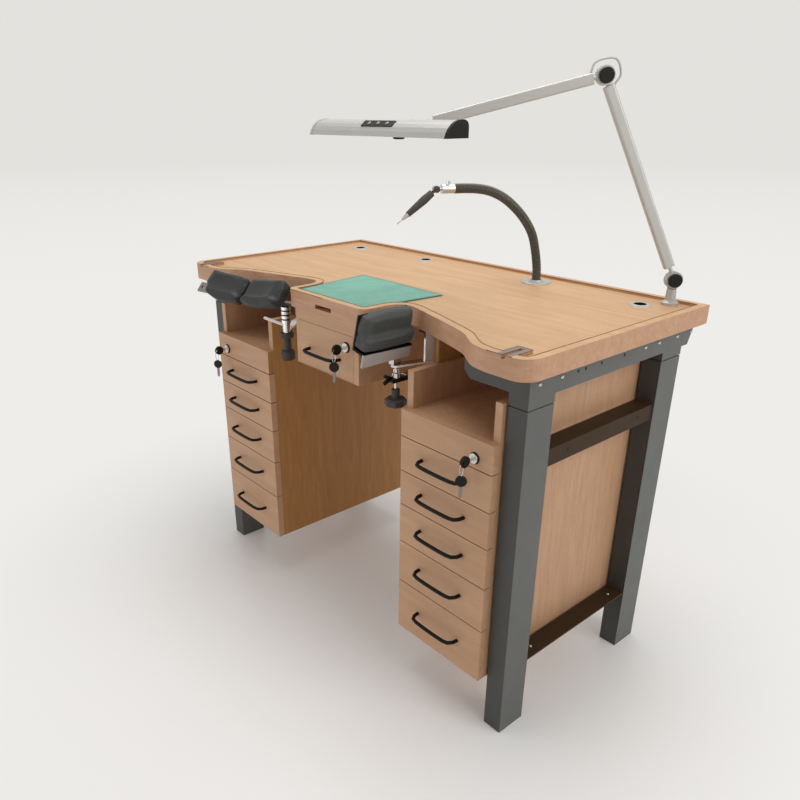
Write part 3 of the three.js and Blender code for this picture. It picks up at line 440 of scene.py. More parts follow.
def make_piece(name: str, mesh: bmesh.types.BMesh, finish: Finish, body: str,
               smooth: float = 40.0) -> bpy.types.Object:
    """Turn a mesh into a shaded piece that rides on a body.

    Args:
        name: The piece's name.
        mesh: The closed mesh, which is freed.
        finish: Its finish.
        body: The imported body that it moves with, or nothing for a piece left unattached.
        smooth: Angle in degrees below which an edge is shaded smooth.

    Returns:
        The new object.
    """
    bmesh.ops.remove_doubles(mesh, verts=mesh.verts[:], dist=1e-6)
    bmesh.ops.recalc_face_normals(mesh, faces=mesh.faces[:])
    data = bpy.data.meshes.new(name)
    mesh.to_mesh(data)
    mesh.free()
    data.shade_smooth()
    data.set_sharp_from_angle(angle=math.radians(smooth))
    data.materials.append(finish.material())
    thing = bpy.data.objects.new(name, data)
    bpy.context.scene.collection.objects.link(thing)
    if body:
        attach(thing, body)
    LOG.info("piece %s rides on %s", name, body or "two bodies")
    return thing


def is_between(value: float, limits: tuple[float, float]) -> bool:
    """Tell whether a value in metres lies between two limits in millimetres."""
    return limits[0] * MM < value < limits[1] * MM


def frame_along(start: Vector, way: Vector) -> Matrix:
    """Give the place whose local Z runs along a direction."""
    return Matrix.Translation(start) @ way.to_track_quat("Z", "Y").to_matrix().to_4x4()


def add_turned(mesh: bmesh.types.BMesh, profile: Sequence[tuple[float, float]], place: Matrix,
               sides: int = 24) -> None:
    """Add a turned body from a profile of radius and height in millimetres.

    Args:
        mesh: The mesh to add to.
        profile: Radius and height pairs from one pole to the other.
        place: Where the turning axis, local Z, stands.
        sides: Facets round the axis.
    """
    rings = []
    for radius, height in profile:
        if radius <= 0:
            rings.append([mesh.verts.new(place @ Vector((0, 0, height * MM)))])
            continue
        turn = [2 * math.pi * step / sides for step in range(sides)]
        rings.append([mesh.verts.new(place @ Vector((radius * MM * math.cos(a), radius * MM * math.sin(a),
                                                     height * MM))) for a in turn])
    for low, high in zip(rings, rings[1:]):
        for step in range(sides):
            after = (step + 1) % sides
            corners = [low[step % len(low)], low[after % len(low)],
                       high[after % len(high)], high[step % len(high)]]
            unique = list(dict.fromkeys(corners))
            if len(unique) > 2:
                mesh.faces.new(unique)


def add_tube(mesh: bmesh.types.BMesh, route: Sequence[Vector], radius: float, sides: int = 10,
             closed: bool = False) -> None:
    """Add a round tube along points, with capped ends unless it closes on itself.

    Args:
        mesh: The mesh to add to.
        route: Points in metres.
        radius: Radius in millimetres.
        sides: Facets round the tube.
        closed: Whether the last point joins the first.
    """
    count = len(route)
    rings = []
    normal = None
    for index, point in enumerate(route):
        before = route[index - 1] if index or closed else point
        after = route[(index + 1) % count] if index + 1 < count or closed else point
        way = (after - before).normalized()
        seed = normal if normal is not None else way.orthogonal()
        normal = (seed - way * seed.dot(way)).normalized()
        binormal = way.cross(normal)
        turn = [2 * math.pi * step / sides for step in range(sides)]
        rings.append([mesh.verts.new(point + (normal * math.cos(a) + binormal * math.sin(a)) * radius * MM)
                      for a in turn])
    pairs = list(zip(rings, rings[1:])) + ([(rings[-1], rings[0])] if closed else [])
    for low, high in pairs:
        for step in range(sides):
            after = (step + 1) % sides
            mesh.faces.new((low[step], low[after], high[after], high[step]))
    if not closed:
        mesh.faces.new(rings[0])
        mesh.faces.new(rings[-1])


def smooth_route(knots: Sequence[Vector], steps: int) -> list[Vector]:
    """Run a smooth curve through points.

    Args:
        knots: The points that it passes, in order.
        steps: How many pieces each stretch is cut into.

    Returns:
        The points along the curve, both ends included.
    """
    ends = [knots[0] * 2 - knots[1], *knots, knots[-1] * 2 - knots[-2]]
    route = []
    for before, start, end, after in zip(ends, ends[1:], ends[2:], ends[3:]):
        for step in range(steps):
            share = step / steps
            bend = (before * 2 - start * 5 + end * 4 - after) * share ** 2
            twist = (start * 3 - before - end * 3 + after) * share ** 3
            route.append((start * 2 + (end - before) * share + bend + twist) / 2)
    return route + [knots[-1].copy()]


def add_slab(mesh: bmesh.types.BMesh, outline: Sequence[tuple[float, float]], low: float, high: float,
             place: Matrix, ease: float = 0.6) -> None:
    """Add a flat body with eased edges from an outline in millimetres.

    Args:
        mesh: The mesh to add to.
        outline: Local x and y of each corner.
        low: Local height of the underside.
        high: Local height of the top.
        place: Where the slab's local origin stands.
        ease: Width of the eased edges.
    """
    part = bmesh.new()
    ring = [part.verts.new((x * MM, y * MM, low * MM)) for x, y in outline]
    face = part.faces.new(ring)
    lifted = bmesh.ops.extrude_face_region(part, geom=[face])["geom"]
    tops = [item for item in lifted if isinstance(item, bmesh.types.BMVert)]
    bmesh.ops.translate(part, vec=(0, 0, (high - low) * MM), verts=tops)
    if ease:
        bmesh.ops.bevel(part, geom=part.edges[:], offset=ease * MM, segments=2, affect="EDGES",
                        clamp_overlap=True)
    bmesh.ops.transform(part, matrix=place, verts=part.verts[:])
    data = bpy.data.meshes.new("slab")
    part.to_mesh(data)
    part.free()
    mesh.from_mesh(data)
    bpy.data.meshes.remove(data)


def round_outline(half_x: float, half_y: float, corner: float, steps: int = 5) -> list[tuple[float, float]]:
    """Give a rectangle's outline with round corners, in millimetres.

    Args:
        half_x: Half its width.
        half_y: Half its depth.
        corner: Radius of its corners.
        steps: Cuts in each corner.

    Returns:
        The outline's points in order.
    """
    points = []
    for quarter, (sx, sy) in enumerate(((1, 1), (-1, 1), (-1, -1), (1, -1))):
        for step in range(steps + 1):
            angle = math.radians(90 * quarter + 90 * step / steps)
            points.append((sx * (half_x - corner) + corner * math.cos(angle),
                           sy * (half_y - corner) + corner * math.sin(angle)))
    return points


@dataclass
class Studio:
    """The floor, the light and the camera at the photograph's angle."""

    eye: tuple[float, float, float] = (1436.0, -1364.7, 1374.7)
    azimuth: float = 49.851
    elevation: float = 24.109
    roll: float = -0.0025
    focal_px: float = 727.58
    middle_px: tuple[float, float] = (374.67, 438.81)
    frame_px: float = 800.0
    sensor_mm: float = 36.0
    view_reach: float = 200.0
    floor_radius: float = 60.0
    floor_gloss: float = 0.34
    fade_m: tuple[float, float] = (0.6, 1.7)
    fade_least: float = 0.1
    haze_m: tuple[float, float] = (4.0, 22.0)
    ambient: float = 0.37

    def build(self) -> None:
        """Make the floor, the lamps, the world and the camera."""
        self.add_camera()
        self.add_floor()
        self.add_lamps()
        bpy.context.scene.view_settings.view_transform = "Standard"

    def add_camera(self) -> None:
        """Stand the camera where the photograph was taken from."""
        data = bpy.data.cameras.new("camera")
        data.sensor_width = self.sensor_mm
        data.lens = self.focal_px / self.frame_px * self.sensor_mm
        data.shift_x = (self.frame_px / 2 - self.middle_px[0]) / self.frame_px
        data.shift_y = (self.middle_px[1] - self.frame_px / 2) / self.frame_px
        data.clip_end = self.view_reach
        camera = bpy.data.objects.new("camera", data)
        turn, lift = math.radians(self.azimuth), math.radians(self.elevation)
        back = Vector((math.sin(turn) * math.cos(lift), -math.cos(turn) * math.cos(lift), math.sin(lift)))
        right = Vector((math.cos(turn), math.sin(turn), 0))
        up = back.cross(right)
        axes = Matrix((right, up, back)).transposed().to_4x4()
        camera.matrix_world = Matrix.Translation(at(*self.eye)) @ axes @ Matrix.Rotation(self.roll, 4, "Z")
        bpy.context.scene.collection.objects.link(camera)
        bpy.context.scene.camera = camera

    def add_floor(self) -> None:
        """Lay a pale floor that fades into the pale world, and keeps the shadow near the bench."""
        shape = bmesh.new()
        bmesh.ops.create_circle(shape, cap_ends=True, segments=96, radius=self.floor_radius)
        data = bpy.data.meshes.new("floor")
        shape.to_mesh(data)
        shape.free()
        floor = bpy.data.objects.new("floor", data)
        bpy.context.scene.collection.objects.link(floor)
        paint = bpy.data.materials.new("floor_paint")
        paint.use_nodes = True
        tree = paint.node_tree
        shader = tree.nodes["Principled BSDF"]
        shader.inputs["Base Color"].default_value = linear(FLOOR_PAINT)
        shader.inputs["Roughness"].default_value = self.floor_gloss
        place = add_node(tree, "TexCoord").outputs["Object"]
        away = add_node(tree, "VectorMath", {0: place}, operation="LENGTH")
        fade = add_node(tree, "MapRange", {"Value": away.outputs["Value"], "From Min": self.fade_m[0],
                                           "From Max": self.fade_m[1], "To Min": self.fade_least},
                        interpolation_type="SMOOTHSTEP")
        depth = add_node(tree, "MapRange", {"Value": away.outputs["Value"], "From Min": self.haze_m[0],
                                            "From Max": self.haze_m[1]})
        haze = add_node(tree, "MixRGB", {0: depth.outputs[0], 1: linear(FLOOR_FAR), 2: linear(BACKDROP)})
        glow = add_node(tree, "Emission", {"Color": haze.outputs[0]})
        share = add_node(tree, "Math", {0: fade.outputs[0], 1: self.seen_share(tree)}, operation="MULTIPLY")
        mixed = add_node(tree, "MixShader", {0: share.outputs[0], 1: shader.outputs[0], 2: glow.outputs[0]})
        tree.links.new(mixed.outputs[0], tree.nodes["Material Output"].inputs["Surface"])
        data.materials.append(paint)

    @staticmethod
    def seen_share(tree: bpy.types.NodeTree) -> bpy.types.NodeSocket:
        """Give 1 for rays that see the backdrop, straight or mirrored, and 0 for rays that carry light.

        Args:
            tree: The floor's or the world's node tree.

        Returns:
            The socket with that share.
        """
        ray = add_node(tree, "LightPath")
        first = add_node(tree, "Math", {0: ray.outputs["Is Camera Ray"], 1: ray.outputs["Is Glossy Ray"]},
                         operation="MAXIMUM")
        second = add_node(tree, "Math", {0: first.outputs[0], 1: ray.outputs["Is Transmission Ray"]},
                          operation="MAXIMUM")
        return second.outputs[0]

    def add_lamps(self) -> None:
        """Light the bench from above and from its right, with a soft pale world all round."""
        for name, size, power, place, target in (
                ("overhead", 1.9, 42.0, (-150, 150, 3100), (0, 0, 800)),
                ("right_window", 2.0, 33.0, (2900, 300, 2100), (300, 0, 600)),
                ("front_fill", 2.6, 19.0, (-900, -2800, 900), (0, 0, 500))):
            data = bpy.data.lights.new(name, "AREA")
            data.shape = "SQUARE"
            data.size = size
            data.energy = power
            lamp = bpy.data.objects.new(name, data)
            lamp.matrix_world = frame_along(at(*place), at(*place) - at(*target))
            bpy.context.scene.collection.objects.link(lamp)
        world = bpy.data.worlds.new("studio")
        world.use_nodes = True
        tree = world.node_tree
        ambient = tree.nodes["Background"]
        ambient.inputs["Color"].default_value = linear(AMBIENT)
        ambient.inputs["Strength"].default_value = self.ambient
        seen = add_node(tree, "Background", {"Color": linear(BACKDROP), "Strength": 1.0})
        mixed = add_node(tree, "MixShader", {0: self.seen_share(tree), 1: ambient.outputs[0],
                                             2: seen.outputs[0]})
        tree.links.new(mixed.outputs[0], tree.nodes["World Output"].inputs["Surface"])
        bpy.context.scene.world = world


@dataclass
class Worktop:
    """The beech top with its cable grommets, corner plates and teal skin."""

    plate_from_centre: float = 590.0
    plate_half: float = 17.4
    plate_front: float = -334.4
    plate_back: float = -269.6
    plate_top: float = 960.0
    plate_slot: float = 5.2
    plate_bridge: float = 12.0
    cable_hole: float = 16.5
    skin_thickness: float = 1.8
    skin_cells: tuple[int, int] = (48, 36)
    mat_top: float = 956.6
    step_z: float = 952.0
    shade_line_radius: float = 1.1
    mat_corners: tuple[tuple[float, float], ...] = ((-133, -298), (133, -298), (155, -58), (-168, -52))

    def build(self, frame: dict) -> None:
        """Dress the top and add what lies in it and on it.
        """
        dress(frame, "worktop", TOP_BEECH, (EDGE_BEECH, self.is_edge), soften=1.6)
        for place in ("left", "middle", "right"):
            low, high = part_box("grommet_" + place)
            middle = (low + high) / 2

            def inside(face: bpy.types.MeshPolygon, middle: Vector = middle) -> bool:
                """Tell whether a face is in the cable hole."""
                return (face.center.xy - middle.xy).length < self.cable_hole * MM

            dress(frame, "grommet_" + place, ALUMINIUM, (BLACK_PLASTIC, inside))
        for side, sign in SIDES.items():
            self.add_plate(side, sign)
        self.add_skin()
        # The rim's step gets a line of painted shade.
        self.add_rim_shade_line(frame["nodes"]["worktop"].data)

    @staticmethod
    def is_edge(face: bpy.types.MeshPolygon) -> bool:
        """Tell whether a face is on an upright edge of the top."""
        return abs(face.normal.z) < 0.6

    def add_rim_shade_line(self, mesh: bpy.types.Mesh) -> None:
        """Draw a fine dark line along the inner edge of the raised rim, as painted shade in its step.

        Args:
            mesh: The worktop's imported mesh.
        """
        meeting: dict[frozenset, list] = {}
        for face in mesh.polygons:
            corners = [mesh.vertices[index].co for index in face.vertices]
            for start, end in zip(corners, corners[1:] + corners[:1]):
                key = frozenset((start.to_tuple(5), end.to_tuple(5)))
                meeting.setdefault(key, []).append(face)
        shape = bmesh.new()
        for key, faces in meeting.items():
            if len(key) != 2 or len(faces) != 2:
                continue
            wall, flat = sorted(faces, key=lambda face: abs(face.normal.z))
            is_step = abs(wall.normal.z) < 0.3 and self.step_z * MM < wall.center.z
            if is_step and flat.normal.z > 0.9 and abs(flat.center.z - self.plate_top * MM) < 1e-4:
                add_tube(shape, [Vector(point) for point in key], self.shade_line_radius, 6)
        make_piece("painted_shade_rim_line", shape, RIM_SHADE_LINE, "bench", 180.0)

    def add_plate(self, side: str, sign: int) -> None:
        """Let a slotted steel plate into a front corner of the top.

        Args:
            side: The side's name.
            sign: 1 on the sitter's right, -1 on the left.
        """
        shape = bmesh.new()
        middle_y = (self.plate_front + self.plate_back) / 2
        half_y = (self.plate_back - self.plate_front) / 2
        place = Matrix.Translation(at(sign * self.plate_from_centre, middle_y, self.plate_top))
        half_bridge = self.plate_slot - 0.2
        strips = ((-self.plate_half, -self.plate_slot, -half_y), (self.plate_slot, self.plate_half, -half_y),
                  (-half_bridge, half_bridge, half_y - self.plate_bridge))
        for left, right, front in strips:
            outline = [(left, front), (right, front), (right, half_y), (left, half_y)]
            add_slab(shape, outline, -3.0, 0.4, place)
        make_piece(f"corner_plate_{side}", shape, GREY_ZINC, "bench")

    def add_skin(self) -> None:
        """Lay the teal skin with a slight lie of its own and a darker cut edge."""
        columns, rows = self.skin_cells
        shape = bmesh.new()
        (fl, ff), (fr, _), (br, rb), (bl, lb) = self.mat_corners

        def lie(u: float, v: float) -> Vector:
            """Give the skin's upper face at a share of its width and depth.

            Args:
                u: Share of the width, from the left.
                v: Share of the depth, from the front.

            Returns:
                The point in the frame.
            """
            left, right = fl + (bl - fl) * v, fr + (br - fr) * v
            wave = 0.5 * math.sin(5.1 * u + 2.2 * v) * math.sin(3.3 * v + 0.7)
            pull = 2.0 * math.sin(math.pi * u) * (1 - v)
            back = lb + (rb - lb) * u
            return at(left + (right - left) * u, ff + (back - ff) * v + pull, self.mat_top + 0.6 + wave)

        grid = [[shape.verts.new(lie(c / columns, r / rows)) for c in range(columns + 1)]
                for r in range(rows + 1)]
        for low, high in zip(grid, grid[1:]):
            for c in range(columns):
                shape.faces.new((low[c], low[c + 1], high[c + 1], high[c]))
        skin = make_piece("skin_mat_hide", shape, SKIN, "bench")
        skin.data.materials.append(SKIN_EDGE.material())
        for index, face in enumerate(skin.data.polygons):
            row, column = divmod(index, columns)
            if row in (0, rows - 1) or column in (0, columns - 1):
                face.material_index = 1
        body = skin.modifiers.new("thickness", "SOLIDIFY")
        body.thickness = self.skin_thickness * MM
        body.offset = -1
        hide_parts("skin_mat")


@dataclass
class SteelFrame:
    """The painted steel frame with its screws and bolt holes."""

    face_x: float = 620.0
    screw_z: float = 890.0
    screws_y: tuple[float, ...] = (-254, -183, 125, 183, 263, 328)
    holes_y: tuple[float, ...] = (-128, -102, -45, 41)
    rail_face_x: float = 616.0
    rail_holes_y: tuple[float, ...] = (-126, 148)
    rail_hole_z: float = 710.0
    low_screw_x: float = 595.0
    low_screws_y: tuple[float, ...] = (-157, 172)
    low_rail_top: float = 180.0
    between_legs_y: tuple[float, float] = (-198, 206)

    @staticmethod
    def is_front(face: bpy.types.MeshPolygon) -> bool:
        """Tell whether a face looks to the sitter; these faces get painted shade."""
        return face.normal.y < -0.8

    def is_shaded_rail(self, face: bpy.types.MeshPolygon) -> bool:
        """Tell whether a face is on a rail, between the two legs; these faces get painted shade."""
        front, rear = self.between_legs_y
        return at(0, front, 0).y < face.center.y < at(0, rear, 0).y

    def build(self, frame: dict) -> None:
        """Paint the frame and add screws and holes on both sides.
        """
        for side, sign in SIDES.items():
            # Faces to the sitter take the coat painted with shade.
            dress(frame, "top_frame_" + side, STEEL_PAINT, (STEEL_FRONT_SHADE, self.is_front), soften=1.4)
            # On the legs, faces to the sitter and the rails take painted shade.
            dress(frame, "leg_frame_" + side, STEEL_PAINT, (STEEL_FRONT_SHADE, self.is_front),
                  (STEEL_RAIL_SHADE, self.is_shaded_rail), soften=1.4)
            heads = bmesh.new()
            outward = Vector((sign, 0, 0))
            spots = [(at(sign * self.face_x, y, self.screw_z), outward) for y in self.screws_y]
            spots += [(at(sign * self.low_screw_x, y, self.low_rail_top), Vector((0, 0, 1)))
                      for y in self.low_screws_y]
            for spot, axis in spots:
                add_turned(heads, [(0, -1), (4.4, -1), (4.4, 0.8), (3.2, 2.4), (0, 2.9)],
                           frame_along(spot, axis), 16)
            make_piece("rail_screws_" + side, heads, CHROME, "bench")
            pits = bmesh.new()
            marks = [(self.face_x, y, self.screw_z) for y in self.holes_y]
            marks += [(self.rail_face_x, y, self.rail_hole_z) for y in self.rail_holes_y]
            for x, y, z in marks:
                add_turned(pits, [(0, -2), (3.6, -2), (3.6, 0.15), (2.6, 0.25), (0, 0.05)],
                           frame_along(at(sign * x, y, z), outward), 14)
            make_piece("rail_hole_plugs_" + side, pits, BLACK_PLASTIC, "bench")


@dataclass
class Drawers:
    """The two pedestals and the centre drawer, with handles, locks and keys."""

    spare_drop: float = 42.0
    bow: float = 12.5
    locks: tuple[str, ...] = ("right", "left", "centre")
    levels: int = 5
    fronts_y: float = -292.0
    filler_from_z: float = 845.0
    filler_reach: float = 15.0
    key_shank: float = 12.0
    ring_half: tuple[float, float] = (5.0, 15.5)

    def build(self, frame: dict) -> None:
        """Dress the wood and the fittings, and hang the spare keys.
        """
        for side in SIDES:
            low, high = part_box("carcass_" + side)
            inner = min(abs(low.x), abs(high.x))

            def inward(face: bpy.types.MeshPolygon, inner: float = inner) -> bool:
                """Tell whether a face looks into the knee space or is on the board above its wall; these
                faces get painted shade.

                Args:
                    face: The face.
                    inner: How far the carcass's inner side stands from the middle, in metres.

                Returns:
                    Whether it is one of these.
                """
                across = abs(face.center.x)
                is_wall = abs(across - inner) < 2 * MM and abs(face.normal.x) > 0.9
                is_high = face.center.z > self.filler_from_z * MM
                return is_wall or (is_high and across < inner + self.filler_reach * MM)

            # Knee-space faces and the board above them take the beech painted with shade.
            dress(frame, "carcass_" + side, SIDE_BEECH, (FRONT_BEECH, self.is_front), (SHADED_INNER_BEECH, inward),
                  soften=0.8)
            for level in range(1, self.levels + 1):
                dress(frame, f"drawer_{side}_{level}", FRONT_BEECH, soften=0.8)
                dress(frame, f"handle_{side}_{level}", BLACK_STEEL)
        dress(frame, "centre_housing", FRONT_BEECH, soften=0.8)
        dress(frame, "centre_drawer", FRONT_BEECH, soften=0.8)
        dress(frame, "centre_handle", BLACK_STEEL)
        for name in self.locks:
            dress(frame, "lock_" + name, CHROME, soften=0.5)
            low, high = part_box("lock_" + name)
            front = low.y
            collar = bmesh.new()
            centre = Vector(((low.x + high.x) / 2, high.y, (low.z + high.z) / 2))
            profile = [(11.8, -0.2), (13.6, -0.2), (13.6, 1.4), (12.6, 2.4), (11.8, 2.4), (11.8, -0.2)]
            add_turned(collar, profile, frame_along(centre, Vector((0, -1, 0))), 28)
            make_piece("lock_collar_" + name, collar, BLACK_STEEL, self.carrier(name))

            def bowed(face: bpy.types.MeshPolygon, front: float = front) -> bool:
                """Tell whether a face is on the key's plastic head."""
                return face.center.y < front - self.key_shank * MM

            dress(frame, "key_" + name, CHROME, (BLACK_PLASTIC, bowed), soften=0.9)
            self.hang_spare(name)

    @staticmethod
    def carrier(name: str) -> str:
        """Give the body that carries a lock: its drawer in the middle, and the bench at the sides."""
        return "centre_drawer" if name == "centre" else "bench"

    def is_front(self, face: bpy.types.MeshPolygon) -> bool:
        """Tell whether a face of the pedestal belongs to its front boards."""
        return face.center.y < at(0, self.fronts_y, 0).y

    def hang_spare(self, name: str) -> None:
        """Hang a second key on a wire ring from the first one's eye.

        Args:
            name: The lock's name.
        """
        low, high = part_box("key_" + name)
        body = self.carrier(name)
        eye = Vector(((low.x + high.x) / 2, low.y + 4.2 * MM, (low.z + high.z) / 2))
        half_wide, half_high = self.ring_half
        middle = eye - Vector((0, 0, (half_high - 1.2) * MM))
        wire = bmesh.new()
        turns = [2 * math.pi * step / 32 for step in range(32)]
        loop = [middle + Vector((0, half_wide * math.sin(a), half_high * math.cos(a))) * MM for a in turns]
        add_tube(wire, loop, 0.8, 8, closed=True)
        make_piece(f"key_ring_{name}", wire, CHROME, body)
        head = bmesh.new()
        centre = eye - Vector((0, 0, self.spare_drop * MM))
        place = Matrix.Translation(centre) @ Matrix.Rotation(math.radians(35), 4, "Z") @ Matrix.Rotation(
            math.radians(90), 4, "X")
        add_turned(head, [(0, -3.4), (self.bow - 1.6, -3.4), (self.bow, -2), (self.bow, 2),
                          (self.bow - 1.6, 3.4), (0, 3.4)], place, 24)
        make_piece(f"spare_key_head_{name}", head, BLACK_PLASTIC, body)
        blade = bmesh.new()
        outline = [(-4, -9), (4, -9), (4, -30), (2.4, -31), (3.6, -33), (2, -36), (3, -38), (0, -41),
                   (-4, -38)]
        add_slab(blade, outline, -1.0, 1.0, place, 0.3)
        make_piece(f"spare_key_blade_{name}", blade, GREY_ZINC, body)


@dataclass
class BarLamp:
    """The jointed lamp with its long bar head."""

    elbow: tuple[float, float, float] = (433, 125, 1447)
    shoulder: tuple[float, float, float] = (573, 290, 1013)
    tip: tuple[float, float, float] = (172, -166, 1352)
    cable_ends: tuple[float, float] = (26, 30)
    cable_root: float = 11.0
    cable_rise: float = 30.9
    cable_share: float = 0.55
    cable_bulge: float = 37.0
    cable_diameter: float = 4.8
    cap_from: float = 332.0
    buttons_at: tuple[float, float, float] = (108.0, -232.0, 1353.6)
    button_steps: tuple[float, ...] = (-30, 0, 30)
    face_slope: float = 37.0
    dial_at: tuple[float, float, float] = (153.0, -211.0, 1329.5)
    panel: tuple[float, float, float, float] = (-112.0, 324.0, -244.0, -194.0)
    underside: float = 1329.0

    def build(self, frame: dict) -> None:
        """Dress the arms and the head, and add the cable, the buttons, the dial and the light panel.
        """
        dress(frame, "lamp_base", ALUMINIUM)
        dress(frame, "lamp_lower_arm", LAMP_ARM)
        dress(frame, "lamp_upper_arm", LAMP_ARM)
        for knob in ("shoulder", "elbow"):
            dress(frame, f"lamp_{knob}_knob", BLACK_PLASTIC, soften=1.6)
        dress(frame, "lamp_head", ALUMINIUM, (BLACK_PLASTIC, self.is_cap))
        self.add_cable()
        self.add_buttons()
        self.add_underside()

    def add_cable(self) -> None:
        """Loop the cable from one arm round the elbow into the other."""
        elbow = at(*self.elbow)
        lower = elbow + (at(*self.shoulder) - elbow).normalized() * self.cable_ends[0] * MM
        upper = elbow + (at(*self.tip) - elbow).normalized() * self.cable_ends[1] * MM
        outward = (elbow * 2 - lower - upper).normalized()

        def beside(point: Vector, distance: float) -> Vector:
            """Give the point that far off an arm's middle line, on the loop's side."""
            way = (point - elbow).normalized()
            return point + (outward - way * outward.dot(way)).normalized() * distance * MM

        knots = [beside(lower, self.cable_root),
                 beside(lower.lerp(elbow, self.cable_share), self.cable_rise),
                 elbow + outward * self.cable_bulge * MM,
                 beside(upper.lerp(elbow, self.cable_share), self.cable_rise),
                 beside(upper, self.cable_root)]
        route = smooth_route(knots, 8)
        mesh = bmesh.new()
        add_tube(mesh, route, self.cable_diameter / 2, 14)
        cable = make_piece("lamp_elbow_cable", mesh, PALE_CABLE, "", 180.0)
        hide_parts("lamp_cable")
        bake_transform(cable)

    def is_cap(self, face: bpy.types.MeshPolygon) -> bool:
        """Tell whether a face is on the head's black end cap."""
        return face.center.x > self.cap_from * MM

    def add_buttons(self) -> None:
        """Set a black strip with three buttons into the head's sloping face."""
        slope = Matrix.Rotation(math.radians(self.face_slope), 4, "X")
        place = Matrix.Translation(at(*self.buttons_at)) @ slope
        strip = bmesh.new()
        add_slab(strip, round_outline(53, 9.4, 2.5), -3.0, 1.4, place, 0.5)
        make_piece("lamp_button_strip", strip, BLACK_PLASTIC, "lamp_head")
        buttons = bmesh.new()
        for x in self.button_steps:
            centre = place @ Matrix.Translation((x * MM, 0, 1.2 * MM))
            add_turned(buttons, [(0, -1), (4.6, -1), (4.6, 0.8), (3.6, 1.5), (0, 1.7)], centre, 20)
        make_piece("lamp_buttons", buttons, GREY_ZINC, "lamp_head")

    def add_underside(self) -> None:
        """Close the head below with a milky panel and a dimmer dial."""
        left, right, front, rear = self.panel
        centre = at((left + right) / 2, (front + rear) / 2, self.underside)
        panel = bmesh.new()
        add_slab(panel, round_outline((right - left) / 2, (rear - front) / 2, 4), -1.2, 0.4,
                 Matrix.Translation(centre), 0.4)
        make_piece("lamp_diffuser", panel, DIFFUSER, "lamp_head")
        dial = bmesh.new()
        add_turned(dial, [(0, -7), (10, -7), (13, -5), (13.5, 0), (0, 0)],
                   Matrix.Translation(at(*self.dial_at)), 28)
        make_piece("lamp_dial", dial, BLACK_PLASTIC, "lamp_head")


@dataclass
class FlexStand:
    """The ribbed flexible stand with its handpiece."""

    tip_z: float = 1152.0

    def is_tip(self, face: bpy.types.MeshPolygon) -> bool:
        """Tell whether a face is on the handpiece's steel nose."""
        return face.center.z < self.tip_z * MM

    def build(self, frame: dict) -> None:
        """Dress the plate, hose, clamp and handpiece.
        """
        dress(frame, "stand_plate", ALUMINIUM)
        dress(frame, "stand_hose", RUBBER_HOSE)
        dress(frame, "stand_clamp", CHROME)
        dress(frame, "handpiece", HANDPIECE_GRIP, (CHROME, self.is_tip))


